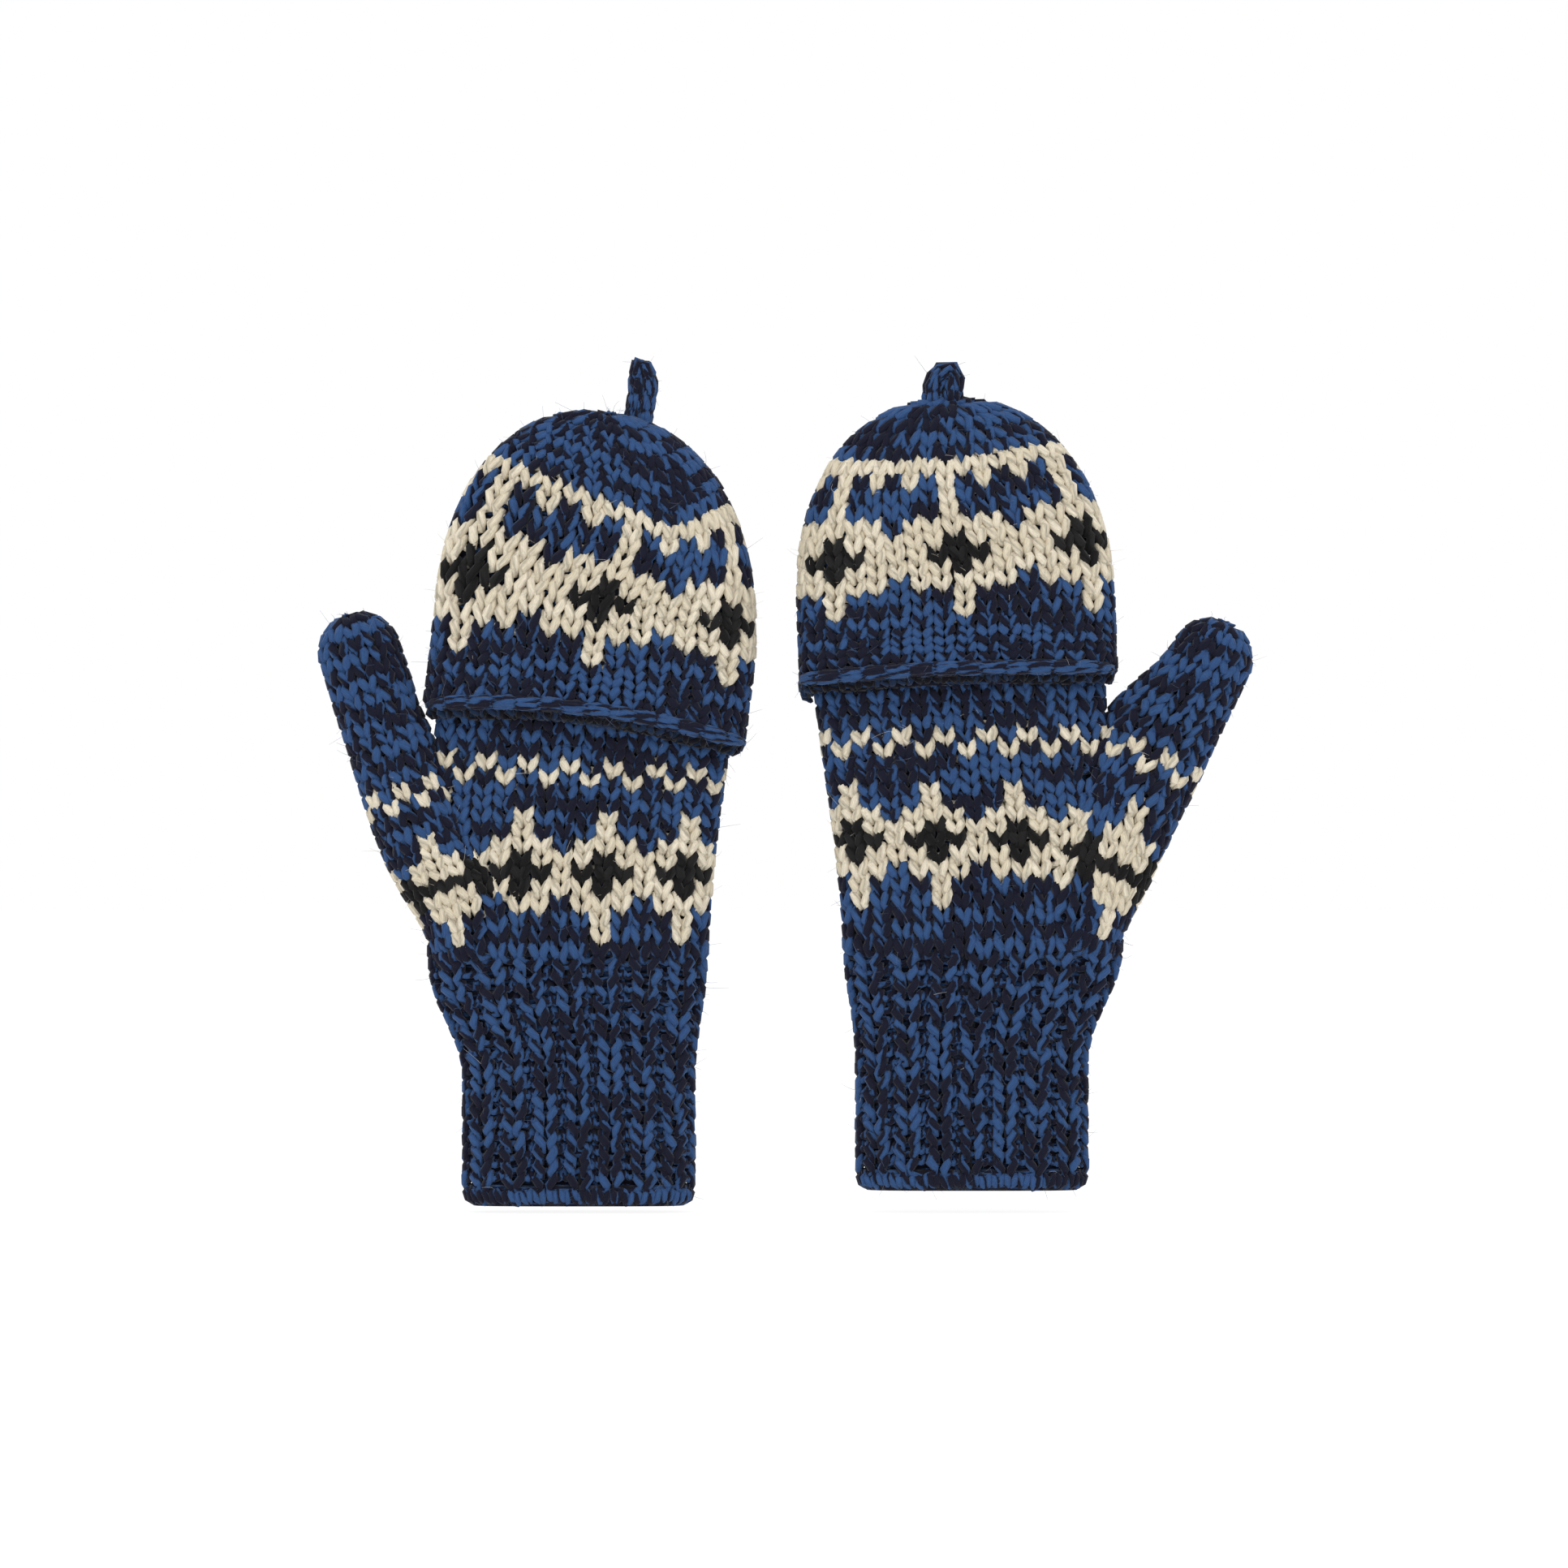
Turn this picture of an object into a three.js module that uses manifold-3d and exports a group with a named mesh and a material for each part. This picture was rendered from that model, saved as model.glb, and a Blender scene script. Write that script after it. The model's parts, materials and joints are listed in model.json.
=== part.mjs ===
// A pair of knitted fold-over mittens, palms towards -Y, fingers towards +Z, in millimetres.
// Each mitten is a ribbed cuff, a hand with its thumb gusset, four open finger sleeves and a cap.
// The cap is sewn across the knuckles at the back, so it folds back off the fingers, and the
// loop at its crown then reaches the button behind the wrist.
// Both mittens are built with the thumb towards +X, and the left one's group is mirrored.
import * as THREE from 'three';
import { mergeVertices } from 'three/addons/utils/BufferGeometryUtils.js';
import loadManifold from 'manifold-3d';

const wasm = await loadManifold();
wasm.setup();

// Fabric and clearances
const wall = 3; // thickness of the knitted fabric
const gap = 0.3; // between two pieces that meet
const slip = 1; // between the hand's sides and the cap's inner face
const palmRoom = 4; // between the palm and the cap's inner face

// Cuff and hand
const cuffHeight = 78;
const edgeHeight = 6; // the cast-on band at the bottom of the cuff
const wristHeight = 42; // up to here the cuff keeps its width
const wristHalfWidth = 37.6;
const ribTopHalfWidth = 45;
const ribTopOut = 3.6; // the top of the ribbing is this far off the middle line
const handHalfDepth = 11;
const squareness = 3.2; // exponent of the flattened sections: 2 is an ellipse, more is boxier

// Cap and its sewn hinge
const hingeRise = 16; // from the cap's rolled rim up to the knuckle seam
const hingeStandoff = 1.5; // the seam's axis lies this far behind the hand's back
const hingeClearance = 1.8; // from the seam's axis to each of the two edges it joins
const seamRadius = 1.3;
const seamHalfLength = 33;
const rimHalfHeight = 3.6;
const rimHalfThickness = 2.1;
const fullestRise = 28; // above the rim, where the cap is widest
const crownFullness = 2.2; // exponent of the cap's outline above that

// Finger sleeves, which share the width of the hand between them
const sleeveWall = 2.2;
const sleeveRoom = 2; // between the sleeves' backs and the cap's inner face
const sleeveSquareness = 2;
const sleeveGap = 0.5;
const fingers = [
  { name: 'index', share: 0.25, height: 14 },
  { name: 'middle', share: 0.26, height: 17 },
  { name: 'ring', share: 0.25, height: 14.5 },
  { name: 'little', share: 0.24, height: 11 },
];

// Thumb and gusset
const thumbHalfWidth = 13.3;
const thumbHalfDepth = 10;
const thumbLength = 32; // from the fold at its root to the middle of its round end
const thumbSquareness = 2.4;
const gussetHalfWidth = 15.5;
const gussetRise = 9; // from the top of the ribbing to the gusset's lower end

// Loop and button
const loopStandoff = 2.6; // from the crown to the loop's ends
const loopCatch = 14; // how far past the crown the loop takes the button
const buttonRadius = 8.5;
const buttonThickness = 3.4;
const buttonBorder = 1.7;
const buttonDish = 0.8;
const buttonHoleRadius = 0.9;
const buttonHoleSpread = 2; // from the button's middle to each hole, across and up
const shankLength = 1.6;
const shankRadius = 1.5;

const leftMitten = {
  name: 'left',
  side: -1, // its thumb points towards -X
  wristX: -66,
  lift: 0,
  handHalfWidth: 48,
  capOut: -1.7, // "out" is a distance from the middle line towards the thumb
  rimHeight: 154.5,
  lean: THREE.MathUtils.degToRad(7), // the cap and its seam lean away from the thumb
  capLength: 101,
  crownOut: 4.5, // the crown's middle, off the cap's own axis
  thumbLean: THREE.MathUtils.degToRad(17.5),
  thumbBeyondHand: 24.2,
  thumbTipHeight: 178,
  thumbRootHalfWidth: 13.3,
  thumbRootRise: 9, // the thumb's flare ends this far above its fold
  loopOut: -10, // from the crown's middle to the loop's
  loopRadius: 2,
  // an upright slender loop: [across, up]
  loopRoute: [[-2.5, 0], [-3, 5], [-3, 10], [-1.6, 14.4], [0.8, 15.8], [2.8, 13], [3, 8], [2.8, 4], [2.5, 0]],
};

const rightMitten = {
  name: 'right',
  side: 1,
  wristX: 60.4,
  lift: 5, // it lies a little higher than the left one
  handHalfWidth: 47,
  capOut: -4.2,
  rimHeight: 160.5,
  lean: THREE.MathUtils.degToRad(2),
  capLength: 94.5,
  crownOut: -0.5,
  thumbLean: THREE.MathUtils.degToRad(25.5),
  thumbBeyondHand: 34.2,
  thumbTipHeight: 171,
  thumbRootHalfWidth: 17,
  thumbRootRise: 32,
  loopOut: -1,
  loopRadius: 2.3,
  // a wider loop that has flopped towards the thumb: [across, up]
  loopRoute: [[-6.8, -0.6], [-5, 3], [-1.8, 6.2], [2.2, 7.6], [5.6, 6.2], [6.8, 3.2], [6.6, 0.2]],
};

// Facets
const roundSteps = 24; // around the cuff, hand and cap
const thumbSteps = 16;
const sleeveSteps = 12;
const cordSteps = 8;

// The cap's section: its back wall stands over the hand's back, its palm wall clears the palm
const hingeDepth = handHalfDepth + hingeStandoff;
const capBack = hingeDepth - gap;
const capFront = -(handHalfDepth + palmRoom + wall);
const capHalfDepth = (capBack - capFront) / 2;
const capMiddle = (capBack + capFront) / 2;
const capFoot = rimHalfHeight + gap; // the cap's lower edge, above the middle of the rolled rim
const sleeveHalfDepth = capBack - wall - sleeveRoom;
const seamClearOfHand = hingeRise - hingeClearance;

const cloth = (color) => new THREE.MeshStandardMaterial({ color, roughness: 0.95, metalness: 0 });
const marlWool = cloth(0x2a3f6b);
const patternWool = cloth(0x3a4c72);
const edgeWool = cloth(0x243a66);
const sleeveWool = cloth(0x27304f);
const buttonHorn = new THREE.MeshStandardMaterial({ color: 0x3a2a20, roughness: 0.35, metalness: 0 });
const buttonThread = new THREE.MeshStandardMaterial({ color: 0x1d2233, roughness: 0.8, metalness: 0 });

const mix = THREE.MathUtils.lerp;
const ease = (value) => THREE.MathUtils.smoothstep(value, 0, 1);
const evenLevels = (from, to, steps) => Array.from({ length: steps + 1 }, (_, i) => mix(from, to, i / steps));

// Rings that crowd together towards a round end, the last one just short of its pole.
function domeLevels(from, to, steps) {
  const turn = (i) => Math.sin((Math.PI / 2) * ((i + 1) / (steps + 0.4)));
  return Array.from({ length: steps }, (_, i) => mix(from, to, turn(i)));
}

// A closed geometry as a solid that can be cut and joined.
function solidOf(geometry) {
  geometry.deleteAttribute('normal');
  geometry.deleteAttribute('uv');
  const welded = mergeVertices(geometry);
  const mesh = new wasm.Mesh({
    numProp: 3,
    vertProperties: welded.getAttribute('position').array,
    triVerts: new Uint32Array(welded.getIndex().array),
  });
  return new wasm.Manifold(mesh);
}

// A lathe whose rings are carried along a limb: place(reach, angle, level) gives each point as
// [x, y, z], with reach 0 on the limb's axis and 1 on its surface. A pole closes a round end.
function limb(levels, steps, place, pole = levels.at(-1)) {
  const profile = [[0, pole], ...levels.map((level) => [1, level]).reverse(), [0, levels[0]]];
  const lathe = new THREE.LatheGeometry(profile.map((pair) => new THREE.Vector2(...pair)), steps);
  const position = lathe.getAttribute('position');
  for (let i = 0; i < position.count; i += 1) {
    const [x, level, z] = [position.getX(i), position.getY(i), position.getZ(i)];
    position.setXYZ(i, ...place(Math.hypot(x, z), Math.atan2(z, x), level));
  }
  return solidOf(lathe);
}

// A flattened round section: how far across and deep a unit section reaches at an angle.
function sectionPoint(angle, exponent) {
  const bend = (value) => Math.sign(value) * Math.abs(value) ** (2 / exponent);
  return [bend(Math.cos(angle)), bend(Math.sin(angle))];
}

// A cord of round section along a curve in the XZ plane, at one depth.
function cordSolid(curve, radius, depth, steps) {
  return limb(evenLevels(0, 1, steps), cordSteps, (reach, angle, level) => {
    const point = curve.getPointAt(level);
    const heading = curve.getTangentAt(level);
    const beside = reach * radius * Math.cos(angle);
    return [
      point.x + beside * heading.y,
      depth + reach * radius * Math.sin(angle),
      point.y - beside * heading.x,
    ];
  });
}

function piece(name, solid, material) {
  const { vertProperties, triVerts } = solid.getMesh();
  const geometry = new THREE.BufferGeometry();
  geometry.setAttribute('position', new THREE.BufferAttribute(new Float32Array(vertProperties), 3));
  geometry.setIndex(new THREE.BufferAttribute(new Uint32Array(triVerts), 1));
  geometry.computeVertexNormals();
  const mesh = new THREE.Mesh(geometry, material);
  mesh.name = name;
  return mesh;
}

// Cuff and hand: the spine runs up the middle and bends into the cap's axis at the knuckles.

function knuckles(mitten) {
  return {
    out: mitten.capOut - seamClearOfHand * Math.sin(mitten.lean),
    height: mitten.rimHeight + seamClearOfHand * Math.cos(mitten.lean),
  };
}

function handStation(mitten, height) {
  if (height <= cuffHeight) {
    const flare = ease((height - wristHeight) / (cuffHeight - wristHeight));
    return { out: ribTopOut * flare, tilt: 0, halfWidth: mix(wristHalfWidth, ribTopHalfWidth, flare) };
  }
  const top = knuckles(mitten);
  const rise = top.height - cuffHeight;
  const along = (height - cuffHeight) / rise;
  const bend = rise * Math.tan(mitten.lean) * (along ** 2 - along ** 3);
  return {
    out: mix(ribTopOut, top.out, ease(along)) + bend,
    tilt: mitten.lean * along ** 2,
    halfWidth: mix(ribTopHalfWidth, mitten.handHalfWidth, along),
  };
}

function handSolid(mitten, from, to, steps, inset) {
  return limb(evenLevels(from, to, steps), roundSteps, (reach, angle, height) => {
    const station = handStation(mitten, height);
    const [across, deep] = sectionPoint(angle, squareness);
    const outward = reach * across * (station.halfWidth - inset);
    return [
      station.out + outward * Math.cos(station.tilt),
      reach * deep * (handHalfDepth - inset),
      height + outward * Math.sin(station.tilt),
    ];
  });
}

function makeCuff(mitten) {
  const tube = (from, to, steps) =>
    handSolid(mitten, from, to, steps, 0).subtract(handSolid(mitten, from - wall, to + wall, steps, wall));
  return [
    piece(`${mitten.name}_cuff_edge`, tube(0, edgeHeight - gap, 1), edgeWool),
    piece(`${mitten.name}_cuff`, tube(edgeHeight, cuffHeight - gap, 6), marlWool),
  ];
}

// Thumb, in its own frame: the fold at its root is at z = 0, its tip is up and its outer edge is
// the straight line x = thumbHalfWidth, which the gusset carries on down into the hand.

function thumbFrame(mitten) {
  const frame = new THREE.Group();
  const tipOut = mitten.capOut + mitten.handHalfWidth + mitten.thumbBeyondHand;
  frame.position.set(
    tipOut - thumbLength * Math.sin(mitten.thumbLean),
    0,
    mitten.thumbTipHeight - thumbLength * Math.cos(mitten.thumbLean),
  );
  frame.rotation.y = mitten.thumbLean;
  frame.updateMatrix();
  return frame;
}

// The gusset runs down to just above the ribbing, and its outer edge draws in to the ribbing's.
function gusset(mitten) {
  const length = (mitten.thumbTipHeight - cuffHeight - gussetRise) / Math.cos(mitten.thumbLean) - thumbLength;
  const axisOut = thumbFrame(mitten).position.x - length * Math.sin(mitten.thumbLean);
  const tuck = thumbHalfWidth - (ribTopOut + ribTopHalfWidth - axisOut) / Math.cos(mitten.thumbLean);
  return { length, tuck };
}

function thumbSolid(mitten, levels, pole, inset, matrix = new THREE.Matrix4()) {
  const point = new THREE.Vector3();
  const { length, tuck } = gusset(mitten);
  return limb(levels, thumbSteps, (reach, angle, level) => {
    const inGusset = ease(-level / length);
    const root = mix(mitten.thumbRootHalfWidth, thumbHalfWidth, ease(level / mitten.thumbRootRise));
    const halfWidth = mix(root, gussetHalfWidth, inGusset);
    const beyond = Math.max(0, level - thumbLength) / (thumbHalfWidth - inset);
    const rounding = Math.sqrt(Math.max(0, 1 - beyond ** 2));
    const [across, deep] = sectionPoint(angle, thumbSquareness);
    point.set(
      thumbHalfWidth - halfWidth - tuck * inGusset ** 4 + reach * across * rounding * (halfWidth - inset),
      reach * deep * rounding * (thumbHalfDepth - inset),
      level,
    );
    return point.applyMatrix4(matrix).toArray();
  }, pole);
}

function makeThumb(mitten) {
  const skin = (inset, foot) => {
    const tip = thumbLength + thumbHalfWidth - inset;
    const levels = [foot, ...evenLevels(thumbLength / 4, thumbLength, 3), ...domeLevels(thumbLength, tip, 4)];
    return thumbSolid(mitten, levels, tip, inset);
  };
  const frame = thumbFrame(mitten);
  frame.add(piece(`${mitten.name}_thumb`, skin(0, 0).subtract(skin(wall, -wall)), marlWool));
  return frame;
}

function makeHand(mitten) {
  const top = knuckles(mitten).height;
  const bottom = gusset(mitten).length;
  const { matrix } = thumbFrame(mitten);
  const outer = handSolid(mitten, cuffHeight, top, 6, 0)
    .add(thumbSolid(mitten, evenLevels(-bottom, -gap, 4), -gap, 0, matrix));
  const inner = handSolid(mitten, cuffHeight - wall, top + wall, 7, wall)
    .add(thumbSolid(mitten, evenLevels(wall - bottom, wall, 4), wall, wall, matrix));
  return piece(`${mitten.name}_hand`, outer.subtract(inner), patternWool);
}

// Finger sleeves: open tubes side by side on the top of the hand, each with its own height.
function makeFingerSleeves(mitten) {
  const frame = new THREE.Group();
  const top = knuckles(mitten);
  frame.position.set(top.out, 0, top.height);
  frame.rotation.y = -mitten.lean;
  let edge = mitten.handHalfWidth - wall;
  const room = 2 * edge - sleeveGap * (fingers.length - 1);
  for (const finger of fingers) {
    const halfWidth = (room * finger.share) / 2;
    const middle = edge - halfWidth;
    const tube = (inset) =>
      limb([gap - inset, finger.height + inset], sleeveSteps, (reach, angle, level) => {
        const [across, deep] = sectionPoint(angle, sleeveSquareness);
        return [middle + reach * across * (halfWidth - inset), reach * deep * (sleeveHalfDepth - inset), level];
      });
    frame.add(piece(`${mitten.name}_${finger.name}_sleeve`, tube(0).subtract(tube(sleeveWall)), sleeveWool));
    edge -= 2 * halfWidth + sleeveGap;
  }
  return frame;
}

// Cap, in its own frame: z = 0 is the middle of the rolled rim and +Z runs up to the crown.

function capSolid(mitten, foot, inset) {
  const length = mitten.capLength - inset;
  const levels = [foot, fullestRise, ...domeLevels(fullestRise, length, 7)];
  return limb(levels, roundSteps, (reach, angle, level) => {
    const beyond = Math.min(1, Math.max(0, (level - fullestRise) / (length - fullestRise)));
    const rounding = (1 - beyond ** crownFullness) ** (1 / crownFullness);
    const [across, deep] = sectionPoint(angle, squareness);
    return [
      mitten.crownOut * beyond + reach * across * rounding * (mitten.handHalfWidth + slip + wall - inset),
      capMiddle + reach * deep * rounding * (capHalfDepth - inset),
      level,
    ];
  }, length);
}

// The part of the cap below the knuckle seam and behind its widest line is left open.
function openBack() {
  const size = new THREE.Vector3(1000, 1000, 1000);
  const block = new THREE.BoxGeometry(size.x, size.y, size.z);
  block.translate(0, size.y / 2, hingeRise + hingeClearance - size.z / 2);
  return solidOf(block);
}

// The rolled rim follows the lower edge of the palm wall, from one side of the cap to the other.
function rimSolid(mitten) {
  const halfWidth = mitten.handHalfWidth + slip + wall / 2;
  const halfDepth = capHalfDepth - wall / 2;
  const spine = (turn) => {
    const [across, deep] = sectionPoint(turn, squareness);
    return new THREE.Vector2(across * halfWidth, capMiddle + deep * halfDepth);
  };
  const end = Math.asin(Math.min(1, (-(capMiddle + gap) / halfDepth) ** (squareness / 2)));
  return limb(evenLevels(end, -Math.PI - end, roundSteps), cordSteps, (reach, angle, turn) => {
    const point = spine(turn);
    const heading = spine(turn - 0.01).sub(spine(turn + 0.01)).normalize();
    const inward = reach * rimHalfThickness * Math.sin(angle);
    return [point.x + inward * heading.y, point.y - inward * heading.x, reach * rimHalfHeight * Math.cos(angle)];
  });
}

function makeLoop(mitten) {
  const out = mitten.crownOut + mitten.loopOut;
  const foot = mitten.capLength + loopStandoff;
  const route = new THREE.CatmullRomCurve3(
    mitten.loopRoute.map(([across, up]) => new THREE.Vector3(out + across, foot + up, 0)),
  );
  return piece(`${mitten.name}_loop`, cordSolid(route, mitten.loopRadius, capMiddle, 16), edgeWool);
}

function makeCap(mitten) {
  const frame = new THREE.Group();
  frame.position.set(mitten.capOut, 0, mitten.rimHeight);
  frame.rotation.y = -mitten.lean;
  const shell = capSolid(mitten, capFoot, 0).subtract(capSolid(mitten, capFoot - wall, wall)).subtract(openBack());
  frame.add(piece(`${mitten.name}_cap`, shell, patternWool));
  frame.add(piece(`${mitten.name}_cap_rim`, rimSolid(mitten), edgeWool));
  frame.add(makeLoop(mitten));
  const seam = new THREE.LineCurve3(
    new THREE.Vector3(-seamHalfLength, hingeRise, 0),
    new THREE.Vector3(seamHalfLength, hingeRise, 0),
  );
  frame.add(piece(`${mitten.name}_knuckle_seam`, cordSolid(seam, seamRadius, hingeDepth, 2), edgeWool));
  return frame;
}

// Button behind the wrist, where the loop lies when the cap is folded all the way back.
function makeButton(mitten) {
  const frame = new THREE.Group();
  const drop = mitten.capLength + loopCatch - 2 * hingeRise;
  const out = mitten.crownOut + mitten.loopOut;
  frame.position.set(
    mitten.capOut + drop * Math.sin(mitten.lean) + out * Math.cos(mitten.lean),
    handHalfDepth,
    mitten.rimHeight - drop * Math.cos(mitten.lean) + out * Math.sin(mitten.lean),
  );
  const underside = shankLength;
  const face = underside + buttonThickness;
  const outline = [
    [0, underside],
    [buttonRadius - buttonDish, underside],
    [buttonRadius, underside + buttonDish],
    [buttonRadius, face - buttonDish],
    [buttonRadius - buttonDish, face],
    [buttonRadius - buttonBorder, face],
    [buttonRadius - 2 * buttonBorder, face - buttonDish],
    [0, face - buttonDish],
  ];
  const disc = solidOf(new THREE.LatheGeometry(outline.map((pair) => new THREE.Vector2(...pair)), roundSteps));
  const hole = (across, up) => {
    const drill = new THREE.CylinderGeometry(buttonHoleRadius, buttonHoleRadius, 2 * face, cordSteps);
    return solidOf(drill.translate(across * buttonHoleSpread, 0, up * buttonHoleSpread));
  };
  const corners = [[-1, -1], [-1, 1], [1, -1], [1, 1]];
  const drilled = corners.reduce((solid, [across, up]) => solid.subtract(hole(across, up)), disc);
  frame.add(piece(`${mitten.name}_button`, drilled, buttonHorn));
  const shank = new THREE.CylinderGeometry(shankRadius, shankRadius, shankLength - 2 * gap, cordSteps);
  frame.add(piece(`${mitten.name}_button_shank`, solidOf(shank.translate(0, shankLength / 2, 0)), buttonThread));
  return frame;
}

function makeMitten(mitten) {
  const group = new THREE.Group();
  group.position.set(mitten.wristX, 0, mitten.lift);
  group.scale.x = mitten.side;
  group.add(...makeCuff(mitten), makeHand(mitten), makeFingerSleeves(mitten));
  group.add(makeThumb(mitten), makeCap(mitten), makeButton(mitten));
  return group;
}

const pair = new THREE.Group();
pair.name = 'fold_over_mittens';
pair.add(makeMitten(leftMitten), makeMitten(rightMitten));

export default pair;
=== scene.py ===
# A pair of hand-knitted fold-over mittens in marled blue wool with cream and black pattern bands.
# Every stitch is a loop of two-ply yarn, laid on the shapes of the cuff, hand, thumb and cap.
import json
import math
import bpy
import numpy as np
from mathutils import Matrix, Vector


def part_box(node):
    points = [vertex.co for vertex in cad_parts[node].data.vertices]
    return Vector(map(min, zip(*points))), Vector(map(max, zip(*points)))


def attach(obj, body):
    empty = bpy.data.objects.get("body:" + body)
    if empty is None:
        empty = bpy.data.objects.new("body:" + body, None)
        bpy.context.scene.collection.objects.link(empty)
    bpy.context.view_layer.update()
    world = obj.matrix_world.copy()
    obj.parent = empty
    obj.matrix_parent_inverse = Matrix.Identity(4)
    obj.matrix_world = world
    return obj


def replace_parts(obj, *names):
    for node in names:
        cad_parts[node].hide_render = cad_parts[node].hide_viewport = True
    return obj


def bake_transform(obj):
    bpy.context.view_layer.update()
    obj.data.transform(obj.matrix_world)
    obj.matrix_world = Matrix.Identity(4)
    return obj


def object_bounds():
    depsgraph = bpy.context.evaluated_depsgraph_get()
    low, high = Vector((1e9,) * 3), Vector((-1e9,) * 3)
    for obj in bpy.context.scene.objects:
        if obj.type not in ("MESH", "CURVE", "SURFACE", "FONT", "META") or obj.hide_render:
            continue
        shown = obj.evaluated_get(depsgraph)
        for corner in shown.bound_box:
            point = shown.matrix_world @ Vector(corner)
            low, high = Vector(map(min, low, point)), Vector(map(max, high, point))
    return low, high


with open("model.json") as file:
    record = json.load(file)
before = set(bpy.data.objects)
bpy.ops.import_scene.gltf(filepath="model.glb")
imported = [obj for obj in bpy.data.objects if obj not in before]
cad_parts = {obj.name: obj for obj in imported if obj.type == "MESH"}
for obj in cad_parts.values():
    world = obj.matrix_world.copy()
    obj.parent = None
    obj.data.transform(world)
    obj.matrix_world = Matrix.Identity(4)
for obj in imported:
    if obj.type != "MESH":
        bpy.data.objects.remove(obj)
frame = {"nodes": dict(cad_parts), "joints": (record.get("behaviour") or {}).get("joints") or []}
cadLow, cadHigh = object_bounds()
joints = {joint["name"]: joint for joint in frame["joints"]}
metre = 0.001  # the lengths below are in millimetres

# What both mittens share: the wall's thickness, half the hand's depth, how square its section is, and
# how deep behind the surface the felted wall lies and how thick it is
fabric = {"wall": 3.0, "handDepth": 11.0, "squareness": 3.2, "feltInset": 3.3, "felt": 0.9}

# Each mitten's own values. Marks are pairs of a course and its height; routes are out and up.
leftMitten = {
    "name": "left", "side": -1, "handHalfWidth": 48.0, "capLength": 101.0, "crownOut": 4.5,
    "thumbRoot": 13.9, "thumbRootRise": 11.0, "cuffRows": 17, "handColumns": 30, "handPeak": -11.0,
    "handMarks": ((1, 87.3), (5, 107.3), (9, 124.8), (12, 137.1), (13, 141.2), (20, 170.0)),
    "bandRow": 1, "dotRow": 12, "dots": (".w", "w."), "footlessFrom": 10.0, "thumbPeak": 2.0,
    "thumbMarks": ((0, -65.5), (4, -47.5), (8, -33.0), (11, -19.5), (12, -15.0)),
    "capColumns": 32, "capPeak": -0.4, "capRow": 4, "capMarks": ((4, 21.0), (8, 38.9), (14, 65.5)),
    "rimLift": (0.6, 5.4), "capSkew": 12.0, "valley": -14.0, "risePalm": (0.26, 0.3),
    "loopOut": -10.0, "loopRadius": 2.3,
    "loopRoute": ((-1.9, -6.5), (-2.2, 1), (-2.3, 6), (-1.4, 10.6), (0.6, 13.9), (2.2, 13.4), (2.3, 9),
                  (2.1, 4), (2.5, -6.5)),
}
rightMitten = {
    "name": "right", "side": 1, "handHalfWidth": 47.0, "capLength": 94.5, "crownOut": -0.5,
    "thumbRoot": 18.3, "thumbRootRise": 33.0, "cuffRows": 16, "handColumns": 30, "handPeak": -13.4,
    "handMarks": ((3, 93.6), (7, 113.2), (11, 129.1), (14, 142.0), (15, 146.4), (22, 176.0)),
    "bandRow": 3, "dotRow": 14, "dots": ("w.", ".w"), "footlessFrom": 2.0, "thumbPeak": 7.0,
    "thumbMarks": ((0, -62.0), (4, -42.5), (8, -22.5), (11, -8.2), (12, -3.9)),
    "capColumns": 33, "capPeak": 2.7, "capRow": 5, "capMarks": ((5, 26.5), (9, 44.2), (15, 72.0)),
    "rimLift": (5.4, 7.2), "capSkew": 5.0, "valley": 5.9, "risePalm": (0.13, 0.02),
    "loopOut": -1.0, "loopRadius": 3.2,
    "loopRoute": ((-4.0, -6.5), (-3.4, 0.3), (-1.7, 3.9), (0.9, 6.2), (3.3, 5.2), (3.5, 2.4), (2.2, -6.5)),
}


def linear(rgb):
    # screen values from 0 to 255 as linear light
    value = np.array(rgb) / 255
    return np.where(value <= 0.04045, value / 12.92, ((value + 0.055) / 1.055) ** 2.4)


def mix(a, b, share):
    return a + (b - a) * share


def ease(value):
    # 3v^2 - 2v^3 between 0 and 1
    value = np.clip(value, 0, 1)
    return value * value * (3 - 2 * value)


def section(turn, squareness):
    # superellipse: the cosine and sine, each raised to 2/squareness with its sign kept
    across, deep = np.cos(turn), np.sin(turn)
    power = 2 / squareness
    return np.sign(across) * np.abs(across) ** power, np.sign(deep) * np.abs(deep) ** power


def turned(x, z, angle):
    # turns a point in the XZ plane from +Z towards +X
    return x * np.cos(angle) + z * np.sin(angle), z * np.cos(angle) - x * np.sin(angle)


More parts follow.
